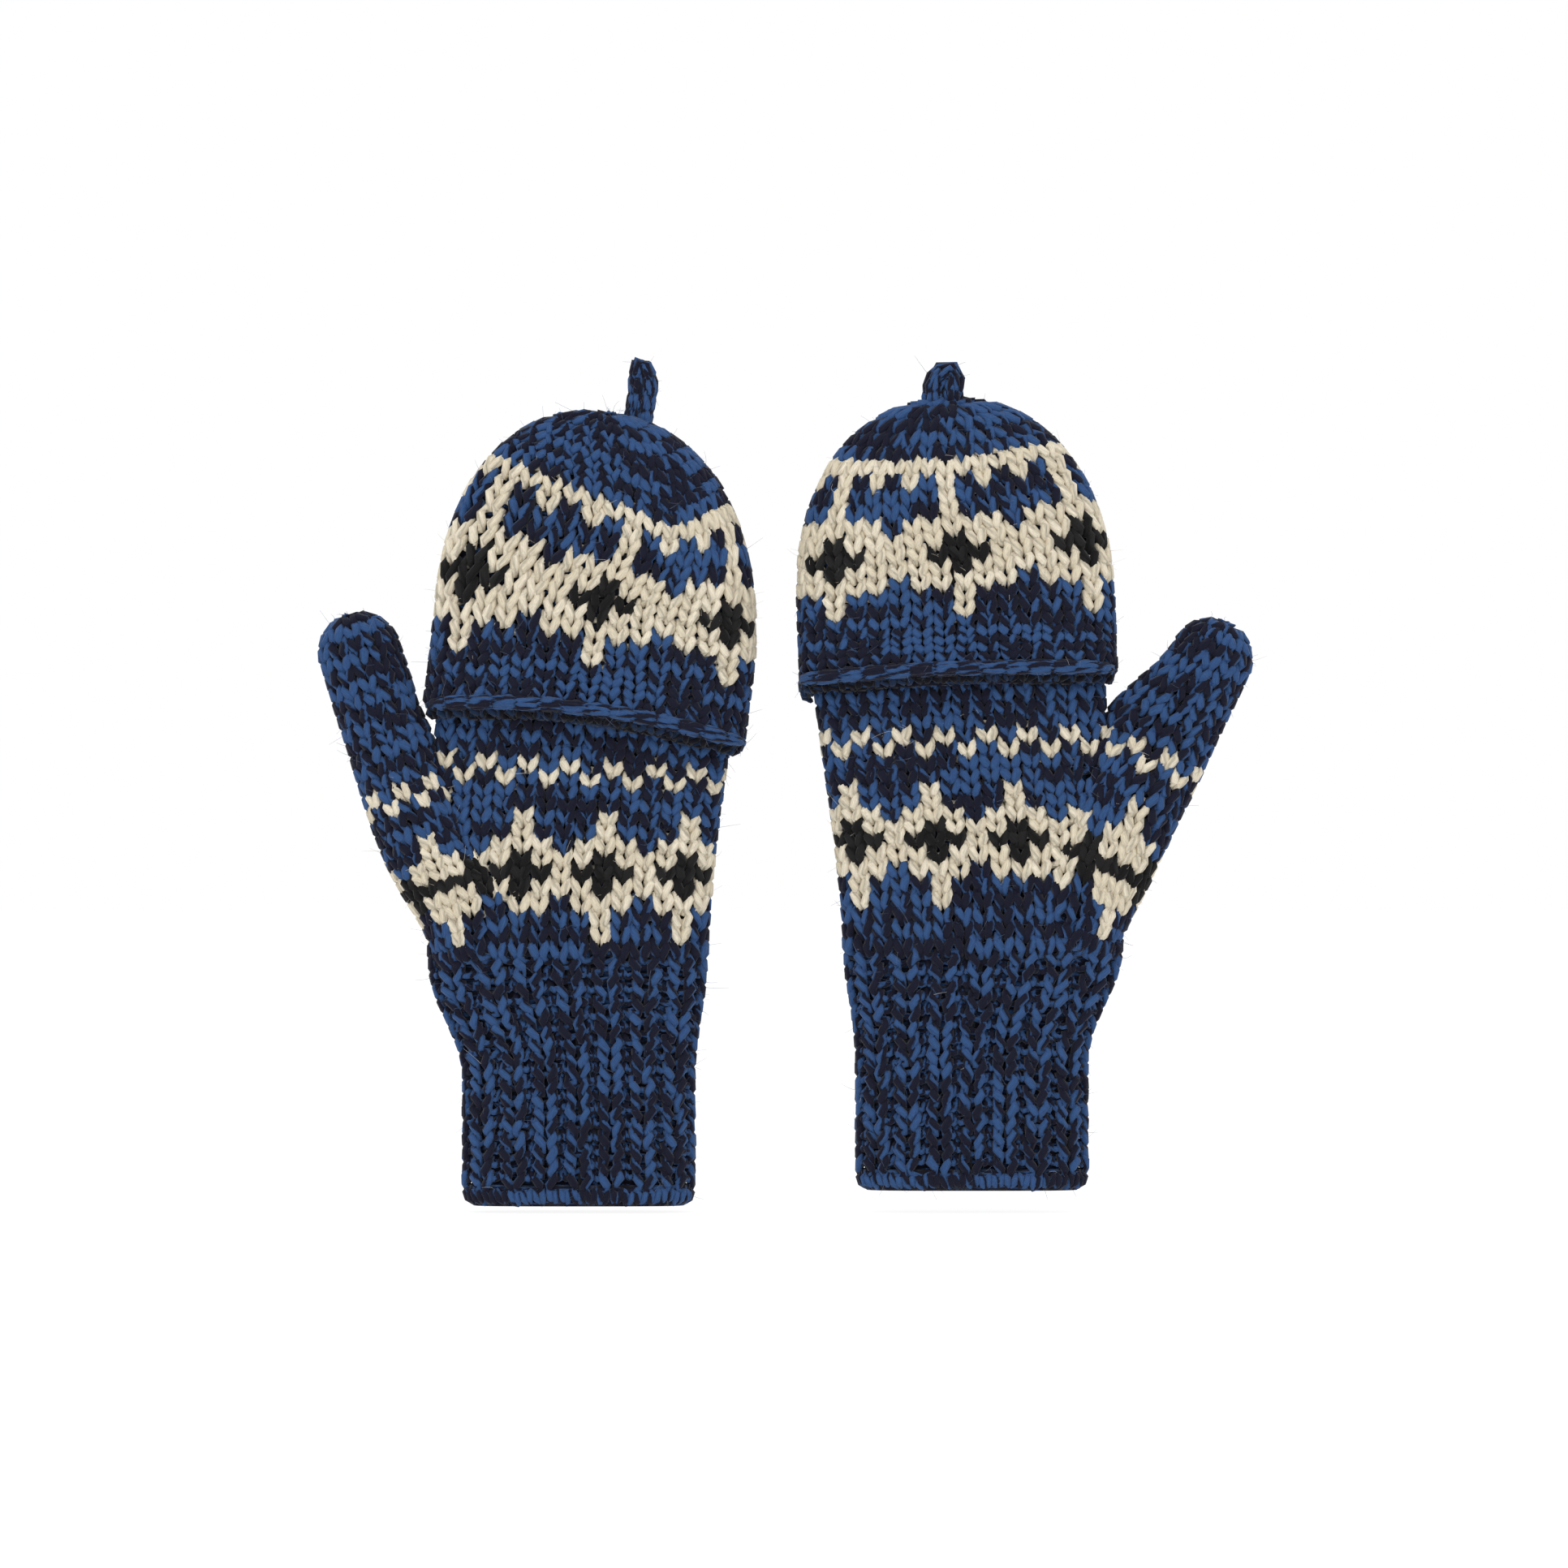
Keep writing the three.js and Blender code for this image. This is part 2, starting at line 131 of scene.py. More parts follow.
def measureMitten(mitten):
    # places that the frame gives: the cuff's box and the axes of the cap's and thumb's folds
    name, side = mitten["name"], mitten["side"]
    low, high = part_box(f"{name}_cuff_edge")
    mitten["wristX"] = (low.x + high.x) / 2 / metre
    mitten["lift"] = low.z / metre
    fold = joints[f"{name}_cap_fold"]
    lean = math.asin(-side * fold["axis"][2])
    hinge = np.array(fold["pos_m"]) / metre
    rise = capShape["hingeRise"]
    mitten["lean"] = lean
    mitten["rimOut"] = side * (hinge[0] - mitten["wristX"]) + rise * math.sin(lean)
    mitten["rimHeight"] = hinge[2] - mitten["lift"] - rise * math.cos(lean)
    seamClear = rise - capShape["seamDrop"]
    mitten["knuckleOut"] = mitten["rimOut"] - seamClear * math.sin(lean)
    mitten["knuckleHeight"] = mitten["rimHeight"] + seamClear * math.cos(lean)
    thumb = joints[f"{name}_thumb_fold"]
    mitten["thumbLean"] = math.asin(abs(thumb["axis"][2]))
    mitten["foldOut"] = side * (thumb["pos_m"][0] / metre - mitten["wristX"])
    mitten["foldHeight"] = thumb["pos_m"][2] / metre - mitten["lift"]
    mitten["handStart"] = float(rowLevel(mitten["handMarks"], -0.5))
    # the gusset runs from the cuff's side to the fold, and tucks in to meet that side at its foot
    cosine, sine = math.cos(mitten["thumbLean"]), math.sin(mitten["thumbLean"])
    gussetLength = (mitten["foldHeight"] - cuffShape["top"] - thumbShape["gussetRise"]) / cosine
    cuffSide = cuffShape["topOut"] + cuffShape["topHalfWidth"]
    footOut = mitten["foldOut"] - gussetLength * sine
    mitten["gussetLength"] = gussetLength
    mitten["gussetTuck"] = thumbShape["halfWidth"] - (cuffSide - footOut) / cosine


def place(mitten, out, deep, height):
    # from distances out towards the thumb, deep and high to the frame's own axes
    return np.stack(np.broadcast_arrays(mitten["wristX"] + mitten["side"] * out, deep,
                                        mitten["lift"] + height), -1)


# the cuff narrows to the wrist and its edge draws in; the ribs are wide knit and narrow purl stitches
cuffShape = {
    "top": 78.0, "topOut": 3.6, "topHalfWidth": 45.0,
    "wristTop": 42.0, "wristHalfWidth": 37.6,
    "hem": 2.4, "hemHeight": 6.0,
    "ribsFrom": 6.0, "pairs": 16, "knitShare": 0.82, "purlSink": 2.3, "feltInset": 3.2,
    "edgeColumns": 40, "edgeLevel": 3.4, "edgePitch": 5.6, "edgeInset": 1.5, "edgeFelt": 2.0,
}

def handSurface(mitten):
    # cuff and hand: a superellipse on a spine that leaves the wrist upright and bends at the knuckles
    shape, lean = cuffShape, mitten["lean"]
    rise = mitten["knuckleHeight"] - shape["top"]

    def surface(turn, height, inset):
        flare = ease((height - shape["wristTop"]) / (shape["top"] - shape["wristTop"]))
        along = np.maximum(0, (height - shape["top"]) / rise)
        bend = rise * math.tan(lean) * (along ** 2 - along ** 3)
        upper = along > 0
        out = np.where(upper, mix(shape["topOut"], mitten["knuckleOut"], ease(along)) + bend,
                       shape["topOut"] * flare)
        hem = shape["hem"] * np.clip(1 - height / shape["hemHeight"], 0, 1) ** 2
        width = np.where(upper, mix(shape["topHalfWidth"], mitten["handHalfWidth"], along),
                         mix(shape["wristHalfWidth"], shape["topHalfWidth"], flare) - hem)
        tilt = lean * along ** 2
        across, deep = section(turn, fabric["squareness"])
        aside = across * (width - inset)
        return place(mitten, out + aside * np.cos(tilt), deep * (fabric["handDepth"] - inset),
                     height + aside * np.sin(tilt))

    return surface


# the thumb and its gusset, in levels along the thumb from its fold
thumbShape = {
    "halfWidth": 13.3, "halfDepth": 10.0, "length": 32.0, "squareness": 2.4,
    "gussetHalfWidth": 17.2, "gussetHalfDepth": 12.8, "gussetRise": 9.0,
    "swellLength": 22.0, "footFrom": 48.0, "footThinning": 0.34,
    "leanBelow": 0.33, "leanAbove": 0.14, "leanReach": 20.0,
    "bandMiddle": 4, "dotRow": 11, "gussetRows": 12, "gussetColumns": 16, "tipColumns": 12,
    "lastArc": 1.42, "hiddenShare": 0.72, "bend": 6.0,
}

def thumbLine(mitten, level):
    # half width and centre of the thumb and its gusset at a level, 0 at the fold
    shape = thumbShape
    gussetLength = mitten["gussetLength"]
    inGusset = ease(-level / gussetLength)
    root = mix(mitten["thumbRoot"], shape["halfWidth"], ease(level / mitten["thumbRootRise"]))
    halfWidth = mix(root, shape["gussetHalfWidth"], inGusset)
    middle = shape["halfWidth"] - halfWidth - mitten["gussetTuck"] * inGusset ** 4
    thinning = shape["footThinning"] * ease((-level - shape["footFrom"]) / shape["swellLength"])
    swell = ease(-level / shape["swellLength"]) * (1 - thinning)
    halfDepth = mix(shape["halfDepth"], shape["gussetHalfDepth"], swell)
    return middle, halfWidth, halfDepth


def thumbSurface(mitten):
    # thumb and gusset: a tube with a straight outer edge and a round tip
    shape = thumbShape

    def surface(turn, level, inset):
        middle, halfWidth, halfDepth = thumbLine(mitten, level)
        beyond = np.maximum(0, level - shape["length"]) / (shape["halfWidth"] - inset)
        rounding = np.sqrt(np.maximum(0, 1 - beyond ** 2))
        across, deep = section(turn, shape["squareness"])
        x, z = turned(middle + across * rounding * (halfWidth - inset), level, mitten["thumbLean"])
        return place(mitten, mitten["foldOut"] + x, deep * rounding * (halfDepth - inset),
                     mitten["foldHeight"] + z)

    return surface


# the cap, in levels along it from its palm edge: its back starts above the seam at openTo
capShape = {
    "slip": 1.0, "front": -18.0, "back": 12.2, "fullest": 28.0, "fullness": 2.2,
    "hingeRise": 16.0, "hingeDepth": 12.5, "seamDrop": 1.8, "foot": 3.9, "openTo": 17.8,
    "skewFrom": 32.0, "skewOver": 36.0, "crownFit": 1.12, "crownRoom": 3.0,
}

def capSurface(mitten):
    # cap: straight sides up to its fullest level, then a superellipse outline up to the crown
    shape = capShape
    halfDepth = (shape["back"] - shape["front"]) / 2
    middle = (shape["back"] + shape["front"]) / 2
    halfWidth = mitten["handHalfWidth"] + shape["slip"] + fabric["wall"]

    def surface(turn, level, inset):
        length = mitten["capLength"] - inset
        beyond = np.clip((level - shape["fullest"]) / (length - shape["fullest"]), 0, 1)
        rounding = (1 - beyond ** shape["fullness"]) ** (1 / shape["fullness"])
        across, deep = section(turn, fabric["squareness"])
        palm = np.clip(-1.5 * deep, 0, 1)
        skewed = ease((level - shape["skewFrom"]) / shape["skewOver"])
        skew = mitten["capSkew"] * palm * (1 - across ** 2) * skewed * rounding
        x, z = turned(mitten["crownOut"] * beyond + across * rounding * (halfWidth - inset) - skew, level,
                      -mitten["lean"])
        return place(mitten, mitten["rimOut"] + x, middle + deep * rounding * (halfDepth - inset),
                     mitten["rimHeight"] + z)

    return surface


# the palm's edge: a chain of cast-off stitches, and courses that curl under, each with its level and
# how far round to the back it goes
rimShape = {
    "columns": 5, "pitch": 7.4, "taper": 18.0, "chainHeight": 2.2, "chainThickness": 2.3, "tuck": 1.3,
    "rollRadius": 5.2, "rollCourses": ((-1.4, -1.0), (-4.6, -5.0), (-7.8, -11.0)), "rollPitch": 3.6,
    # shade: how dark the rolled underside's yarn is made, as painted shade under the edge
    "thumbDepth": -8.0, "shade": 0.3, "reach": 24.0,
}

def rimLift(mitten, across):
    # how far the palm's lower edge stands above the straight line between the cap's two sides
    ends, middle = mitten["rimLift"]
    return mix(middle, ends, across ** 2)


# how the palm's courses slope: where each side's slope begins and over what length it grows
slopes = {
    "thumbFrom": 20.0, "thumbOver": 46.0, "farFrom": 42.0, "farOver": 26.0,
    "dip": 0.04, "dipOver": 15.0, "crownFrom": 70.0, "valleyWidth": 5.0,
}

def slopedCourses(mitten, surface):
    # the palm's courses rise from a valley towards both sides of the cap, more so near its crown
    length = mitten["capLength"]
    halfWidth = mitten["handHalfWidth"]
    thumbSide, farSide = mitten["risePalm"]

    def sloped(turn, level, inset):
        across, deep = section(turn, fabric["squareness"])
        palm = np.clip(0.5 - 1.5 * deep, 0, 1)
        beside = across * halfWidth - mitten["valley"]
        near = thumbSide * ease((level - slopes["thumbFrom"]) / slopes["thumbOver"])
        dip = slopes["dip"]
        far = (dip * ease((level - slopes["thumbFrom"]) / slopes["dipOver"])
               - (farSide + dip) * ease((level - slopes["farFrom"]) / slopes["farOver"]))
        soft = 0.5 + 0.5 * np.tanh(beside / slopes["valleyWidth"])
        lift = beside * (near * soft + far * (1 - soft))
        room = np.clip((length - level) / (length - slopes["crownFrom"]), 0, 1)
        edge = rimLift(mitten, across) * (1 - ease(level / rimShape["reach"]))
        return surface(turn, level + (lift * room + edge) * palm, inset)

    return sloped


def cordSurface(route, side, halfThickness, halfHeight, taper=0.01, tip=0.45):
    # a cord round a route: an ellipse across it, set by a direction that stays beside the route,
    # and slimmer towards both ends
    step = np.linalg.norm(np.diff(route, axis=0), axis=1)
    length = np.concatenate([[0], np.cumsum(step)])
    heading = np.gradient(route, length, axis=0)

    def along(values, level):
        return np.stack([np.interp(level, length, values[:, k]) for k in range(3)], -1)

    def surface(turn, level, inset):
        turn, level, inset = np.broadcast_arrays(turn, level, inset)
        slim = mix(tip, 1, ease(np.minimum(level, length[-1] - level) / taper))
        forward = along(heading, level)
        out = np.cross(forward, side)
        out /= np.linalg.norm(out, axis=-1, keepdims=True)
        up = np.cross(out, forward)
        up /= np.linalg.norm(up, axis=-1, keepdims=True)
        return (along(route, level) + ((halfThickness * slim - inset) * np.cos(turn))[..., None] * out
                + ((halfHeight * slim - inset) * np.sin(turn))[..., None] * up)

    return surface, length[-1]


def smoothRoute(points, count):
    # a Catmull-Rom curve through the points, sampled evenly in its parameter
    points = np.array(points, float)
    padded = np.concatenate([2 * points[:1] - points[1:2], points, 2 * points[-1:] - points[-2:-1]])
    spot = np.linspace(0, len(points) - 1.0001, count)
    i = spot.astype(int)
    f = (spot - i)[:, None]
    a, b, c, d = (padded[i + k] for k in range(4))
    return 0.5 * (2 * b + (c - a) * f + (2 * a - 5 * b + 4 * c - d) * f ** 2
                  + (3 * b - a - 3 * c + d) * f ** 3)


def evenTurns(surface, level):
    # the turn at each share of the way round, from the middle of the palm towards the thumb
    turn = np.linspace(-np.pi / 2, 1.5 * np.pi, 1441)
    points = surface(turn, np.full(turn.shape, float(level)), 0.0)
    length = np.concatenate([[0], np.cumsum(np.linalg.norm(np.diff(points, axis=0), axis=1))])

    def at(share):
        whole = np.floor(share)
        return np.interp(share - whole, length / length[-1], turn) + 2 * np.pi * whole

    return at, length[-1]


# the yarns' colours as red, green and blue from 0 to 255: each yarn's first ply, then its second
yarnColours = {
    "marl": ((50, 80, 125), (23, 24, 41)),
    "cream": ((224, 214, 193), (215, 204, 181)),
    "black": ((33, 32, 32), (24, 23, 24)),
}
yarnCodes = {".": "marl", "w": "cream", "k": "black"}

yarn = {
    "plyTurn": 9.5,  # length of a cord's yarn in which its two plies make a full turn
    "plyRuns": ((1.9, 10), (0.7, 4)),  # how far the twist wanders in radians, over how many stitches
    "plyGroove": 0.13,  # how deep the plies' groove is, as a share of the radius
    "squeeze": 0.13,  # how much thinner the yarn is at a stitch's ends, as a share of the radius
    "lumps": 0.09,  # how uneven its thickness is, as a share of the radius
    "sway": 0.6,  # how much of a stitch's unevenness is sideways
    "bob": 0.16,  # how unevenly deep the stitches lie
    "steps": 10,  # rings along a stitch
    "sides": 6,
}

# a stitch is a loop: its legs lean apart from the foot to the head and stand in front
stocking = {"radius": 1.72, "spread": 0.24, "tall": 0.8, "relief": 0.95, "sink": 2.0, "uneven": 0.16}
ribKnit = {"radius": 1.6, "spread": 0.24, "tall": 0.84, "relief": 0.9, "sink": 2.0, "uneven": 0.18}
castOn = {"radius": 1.4, "spread": 0.05, "tall": 0.4, "relief": 0.7, "sink": 1.9, "uneven": 0.08}
cordKnit = {"radius": 1.15, "spread": 0.2, "tall": 0.8, "relief": 0.35, "sink": 0.9, "uneven": 0.1,
            "plyTurns": 2}
sleeveKnit = {"radius": 1.3, "spread": 0.24, "tall": 0.8, "relief": 0.7, "sink": 1.4, "uneven": 0.1}

def wobble(u, v, seed):
    # a smooth unevenness between -1 and 1: three sine waves across each other
    phase = np.random.default_rng(seed).uniform(0, 2 * np.pi, 3)
    return (np.sin(1.9 * u + 0.7 * v + phase[0]) + np.sin(0.6 * u - 1.7 * v + phase[1])
            + np.sin(-1.1 * u + 2.6 * v + phase[2])) / 3


def knit(surface, courses, look, seed, sides=yarn["sides"], steps=yarn["steps"]):
    # Loops of yarn, one after another in each course. Along a stitch t goes from 0 to 2 pi:
    # the path runs across by t plus spread times sin 2t, up by minus tall times cos t, and out by
    # minus relief times cos 2t. A ring of yarn stands on it at every step.
    stitch = {key: np.concatenate([one[key] for one in courses])
              for key in ("row", "start", "width", "face", "code", "keep", "level", "pitch", "sink")}
    count = len(stitch["row"])
    first = np.cumsum([0] + [len(one["row"]) for one in courses])
    following = np.arange(count) + 1
    following[first[1:] - 1] = first[:-1]  # the last stitch of a round meets the first
    joined = stitch["keep"] & stitch["keep"][following]

    t = np.linspace(0, 2 * np.pi, steps + 1)[None, :]
    column = {key: value[:, None] for key, value in stitch.items()}

    def centre(t, out=0.0):
        along = column["start"] / np.maximum(column["width"], 1e-6) + t / (2 * np.pi)
        sway = yarn["sway"] * look["uneven"] * wobble(2.3 * along, 1.9 * column["row"], seed + 2)
        share = column["start"] + column["width"] * (t / (2 * np.pi) + sway
                                                     + look["spread"] * np.sin(2 * t))
        slip = look["uneven"] * wobble(1.7 * along, 1.4 * column["row"], seed) - look["tall"] * np.cos(t)
        foot = ((1 + np.cos(t)) / 2) ** 4
        relief = look["relief"] * mix(1, 1 - foot, column["face"] != column["neighbour"])
        depth = (look["sink"] + column["sink"] * (1 - foot) + column["face"] * relief * np.cos(2 * t)
                 + yarn["bob"] * wobble(along + 3, column["row"] * 1.3, seed + 1))
        return surface(column["turnAt"](share), column["level"] + column["pitch"] * slip, depth - out)

    column["neighbour"] = stitch["face"][following][:, None]
    column["turnAt"] = courses[0]["turnAt"]
    path = centre(t)
    small = 0.02
    heading = centre(t + small) - centre(t - small)
    heading /= np.linalg.norm(heading, axis=-1, keepdims=True)
    out = centre(t, 0.5) - path
    out -= heading * np.sum(out * heading, axis=-1, keepdims=True)
    out /= np.linalg.norm(out, axis=-1, keepdims=True) + 1e-9
    beside = np.cross(heading, out)

    step = np.linalg.norm(np.diff(path, axis=1), axis=-1)
    stitchLength = step.sum(1)
    before = np.cumsum(stitchLength) - stitchLength
    run = before[:, None] + np.concatenate([np.zeros((count, 1)), np.cumsum(step, 1)], 1)
    # The plies make one turn along each leg, slower where the leg lies in front, and wander in runs
    size = np.array([len(one["row"]) for one in courses])
    phase = np.random.default_rng(seed).uniform(0, 2 * np.pi, (len(courses), 3))
    phase, size = (np.repeat(values, size, 0) for values in (phase, size))
    way = 2 * np.pi * column["start"] + column["width"] * t
    twist = look.get("plyTurns", 1) * (2 * t + 0.6 * np.sin(2 * t)) + phase[:, :1]
    for number, (reach, length) in enumerate(yarn["plyRuns"]):
        waves = np.maximum(1, np.round(size / length))[:, None]
        twist = twist + reach * np.sin(waves * way + phase[:, number + 1, None])

    around = 2 * np.pi * np.arange(sides) / sides
    angle = around[None, None, :]
    ply = angle + twist[..., None]
    lumps = 1 + yarn["lumps"] * wobble(run / 5, 0 * run, seed)
    thick = look["radius"] * (1 - yarn["squeeze"] * (1 + np.cos(2 * t))) * lumps
    reach = thick[..., None] * (1 - yarn["plyGroove"] * (1 - np.abs(np.cos(ply))))
    ring = (path[:, :, None, :] + reach[..., None] * (np.cos(angle)[..., None] * out[:, :, None, :]
            + np.sin(angle)[..., None] * beside[:, :, None, :]))
    twistVector = np.stack([np.cos(ply), np.sin(ply), np.broadcast_to(run[..., None] / 4, ply.shape)], -1)

    # Rings are shared along a run of kept stitches; a run's last stitch has a ring of its own
    ends = np.flatnonzero(stitch["keep"] & ~joined)
    ringOf = np.arange(count)[:, None] * steps + np.arange(steps + 1)[None, :]
    ringOf[joined, steps] = following[joined] * steps
    ringOf[ends, steps] = count * steps + np.arange(len(ends))
    points = np.concatenate([ring[:, :steps].reshape(-1, sides, 3), ring[ends, steps]])
    twists = np.concatenate([twistVector[:, :steps].reshape(-1, sides, 3), twistVector[ends, steps]])
    owner = np.concatenate([np.repeat(np.arange(count), steps), ends])

    kept = np.flatnonzero(stitch["keep"])
    side = np.arange(sides)
    a = ringOf[kept, :-1][..., None] * sides
    b = ringOf[kept, 1:][..., None] * sides
    quads = np.stack([a + side, a + (side + 1) % sides, b + (side + 1) % sides, b + side], -1)
    unmet = stitch["keep"].copy()  # kept stitches that no stitch runs into
    unmet[following[joined]] = False
    openEnds = ringOf[ends, steps][:, None] * sides + side
    openStarts = ringOf[np.flatnonzero(unmet), 0][:, None] * sides + side[::-1]
    quads, lids = quads.reshape(-1, 4), np.concatenate([openStarts, openEnds])

    # Each stitch has its own cell of the map
    cells = math.ceil(math.sqrt(len(kept) / 2)) or 1
    number = np.arange(len(kept))
    cellX, cellY = (number % cells)[:, None, None], (number // cells)[:, None, None]
    tall = math.ceil(len(kept) / cells) or 1
    j, i = np.arange(steps)[None, :, None], side[None, None, :]
    corner = [(0, 0), (0, 1), (1, 1), (1, 0)]
    uv = np.stack([np.stack(np.broadcast_arrays((cellX + 0.04 + 0.92 * (j + dj) / steps) / cells,
                                                0.9 * (cellY + 0.06 + 0.88 * (i + di) / sides) / tall), -1)
                   for dj, di in corner], -2)
    lidUv = lidMap(len(lids), sides)
    codes = stitch["code"][owner]
    firstPly, secondPly = np.zeros((2, len(owner), 3))
    for code, name in yarnCodes.items():
        firstPly[codes == code], secondPly[codes == code] = (linear(shade) for shade in yarnColours[name])
    return {"points": points.reshape(-1, 3), "faces": [quads, lids], "uv": [uv.reshape(-1, 4, 2), lidUv],
            "twist": twists.reshape(-1, 3), "firstPly": np.repeat(firstPly, sides, 0),
            "secondPly": np.repeat(secondPly, sides, 0), "material": 0, "sides": sides}


def lidMap(count, sides):
    # each lid is a small ring of its own along the top of the map
    around = 2 * np.pi * np.arange(sides) / sides
    middle = (np.arange(count)[:, None] + 0.5) / max(1, count)
    reach = min(0.02, 0.4 / max(1, count))
    return np.stack(np.broadcast_arrays(middle + reach * np.cos(around), 0.96 + reach * np.sin(around)), -1)


def outward(part):
    # turns a closed part's faces round if they enclose a negative volume
    points = part["points"]
    corners = points[part["faces"][0]]
    volume = sum(np.sum(corners[:, 0] * np.cross(corners[:, k], corners[:, k + 1]))
                 for k in range(1, corners.shape[1] - 1))
    if volume < 0:
        part["faces"] = [face[:, ::-1] for face in part["faces"]]
        part["uv"] = [uv[:, ::-1] for uv in part["uv"]]
    return part


def strand(route, radius, side, colours, sides=8):
    # a plied cord along a route: a ring at every point, with lids at both ends
    step = np.linalg.norm(np.diff(route, axis=0), axis=1)
    run = np.concatenate([[0], np.cumsum(step)])
    heading = np.gradient(route, axis=0)
    heading /= np.linalg.norm(heading, axis=1, keepdims=True)
    out = np.cross(heading, side)
    out /= np.linalg.norm(out, axis=1, keepdims=True)
    beside = np.cross(heading, out)
    angle = 2 * np.pi * np.arange(sides)[None, :] / sides
    ply = angle + 2 * np.pi * run[:, None] / yarn["plyTurn"]
    reach = radius * (1 - yarn["plyGroove"] * (1 - np.abs(np.cos(ply))))
    ring = (route[:, None, :] + (reach * np.cos(angle))[..., None] * out[:, None, :]
            + (reach * np.sin(angle))[..., None] * beside[:, None, :])
    count = len(route)
    i, k = np.arange(count - 1)[:, None], np.arange(sides)[None, :]
    after = (k + 1) % sides
    quads = np.stack([i * sides + k, i * sides + after, (i + 1) * sides + after, (i + 1) * sides + k], -1)
    lids = np.stack([np.arange(sides)[::-1], (count - 1) * sides + np.arange(sides)])
    corner = [(0, 0), (0, 1), (1, 1), (1, 0)]
    uv = np.stack([np.stack(np.broadcast_arrays((i + di) / count, 0.92 * (k + dk) / sides), -1)
                   for di, dk in corner], -2).reshape(-1, 4, 2)
    lidUv = lidMap(2, sides)
    size = count * sides
    twist = np.stack([np.cos(ply), np.sin(ply), np.broadcast_to(run[:, None] / 4, ply.shape)], -1)
    first, second = (np.broadcast_to(linear(shade), (size, 3)) for shade in colours)
    return {"points": ring.reshape(-1, 3), "faces": [quads.reshape(-1, 4), lids], "uv": [uv, lidUv],
            "twist": twist.reshape(-1, 3), "firstPly": first, "secondPly": second, "material": 0,
            "sides": sides}


# loose fibres: how many for each ring of yarn, their size, and how they stand and curl
fuzz = {"share": 0.14, "radius": 0.06, "length": (1.4, 5.0), "root": 0.3, "splay": 0.8, "curl": 0.42,
        "tip": 0.4, "lowest": 0.2, "pale": 0.02, "paleShade": 0.55}

def fuzzPart(part, seed):
    # loose fibres: thin three-sided threads that leave the yarn's surface and curl over
    random = np.random.default_rng(seed)
    rings = part["points"].reshape(-1, part["sides"], 3)
    count = int(fuzz["share"] * len(rings))
    used = np.unique(part["faces"][0] // part["sides"])
    ring = random.choice(used, count)
    side = random.integers(0, part["sides"], count)
    root = rings[ring, side]
    away = root - rings[ring].mean(1)
    away /= np.linalg.norm(away, axis=1, keepdims=True)
    loose = random.normal(size=(count, 3))
    heading = away + fuzz["splay"] * loose
    heading /= np.linalg.norm(heading, axis=1, keepdims=True)
    curl = random.normal(size=(count, 3)) * fuzz["curl"]
    length = random.uniform(*fuzz["length"], (count, 1, 1))
    s = np.linspace(0, 1, 5)[None, :, None]
    path = ((root - fuzz["root"] * away)[:, None, :]
            + length * (heading[:, None] * s + curl[:, None] * s ** 2))
    path[..., 2] = np.maximum(path[..., 2], fuzz["lowest"])  # none reaches below the cuffs
    forward = np.gradient(path, axis=1)
    forward /= np.linalg.norm(forward, axis=2, keepdims=True)
    out = np.cross(forward, np.array([0.31, 0.87, 0.38]))  # any direction that no fibre follows
    out /= np.linalg.norm(out, axis=2, keepdims=True)
    beside = np.cross(forward, out)
    angle = 2 * np.pi * np.arange(3) / 3
    thick = fuzz["radius"] * mix(1, fuzz["tip"], s)[..., None]
    ringPoints = (path[:, :, None] + thick * (np.cos(angle)[:, None] * out[:, :, None]
                                              + np.sin(angle)[:, None] * beside[:, :, None]))
    base = np.arange(count)[:, None, None] * 15
    i, k = np.arange(4)[None, :, None] * 3, np.arange(3)[None, None, :]
    after = (k + 1) % 3
    quads = np.stack(np.broadcast_arrays(base + i + k, base + i + after, base + i + 3 + after,
                                         base + i + 3 + k), -1).reshape(-1, 4)
    ends = np.arange(count)[:, None] * 15
    lids = np.concatenate([ends + np.array([2, 1, 0]), ends + np.array([12, 13, 14])])
    shade = part["firstPly"].reshape(-1, part["sides"], 3)[ring, side]
    shade = mix(shade, 0.35, random.uniform(0.0, 0.3, (count, 1)))
    shade = np.where(random.uniform(size=(count, 1)) < fuzz["pale"], fuzz["paleShade"], shade)
    shade = np.repeat(shade, 15, 0)
    size = count * 15
    cells = math.ceil(math.sqrt(count)) or 1
    cellX, cellY = (np.arange(count) % cells)[:, None, None], (np.arange(count) // cells)[:, None, None]
    i, k = np.arange(4)[None, :, None], np.arange(3)[None, None, :]
    corner = [(0, 0), (0, 1), (1, 1), (1, 0)]
    quadUv = np.stack([np.stack(np.broadcast_arrays(cellX + 0.05 + 0.18 * (i + di),
                                                    cellY + 0.05 + 0.3 * (k + dk)), -1)
                       for di, dk in corner], -2).reshape(-1, 4, 2) / cells
    lidCorner = np.array([[0.82, 0.1], [0.95, 0.1], [0.88, 0.4]])
    spot = np.stack([cellX[:, 0, 0], cellY[:, 0, 0]], -1)[:, None, :]
    lidUv = np.concatenate([spot + lidCorner, spot + lidCorner + [0, 0.45]]) / cells
    return {"points": ringPoints.reshape(-1, 3), "faces": [quads, lids], "uv": [quadUv, lidUv],
            "twist": np.tile([1.0, 0.0, 0.0], (size, 1)), "firstPly": shade, "secondPly": shade,
            "material": 0}


def course(row, columns, level, pitch, turnAt, shift=0.0, codes=None):
    # one course of plain stitches, their widths even; shift is the first stitch's start in stitches
    number = np.arange(columns)
    return {"row": np.full(columns, float(row)), "start": (number + shift) / columns,
            "width": np.full(columns, 1 / columns), "face": np.ones(columns),
            "code": np.full(columns, ".") if codes is None else codes,
            "keep": np.full(columns, True),
            "level": np.full(columns, float(level)), "pitch": np.full(columns, float(pitch)),
            "sink": np.zeros(columns), "turnAt": turnAt}


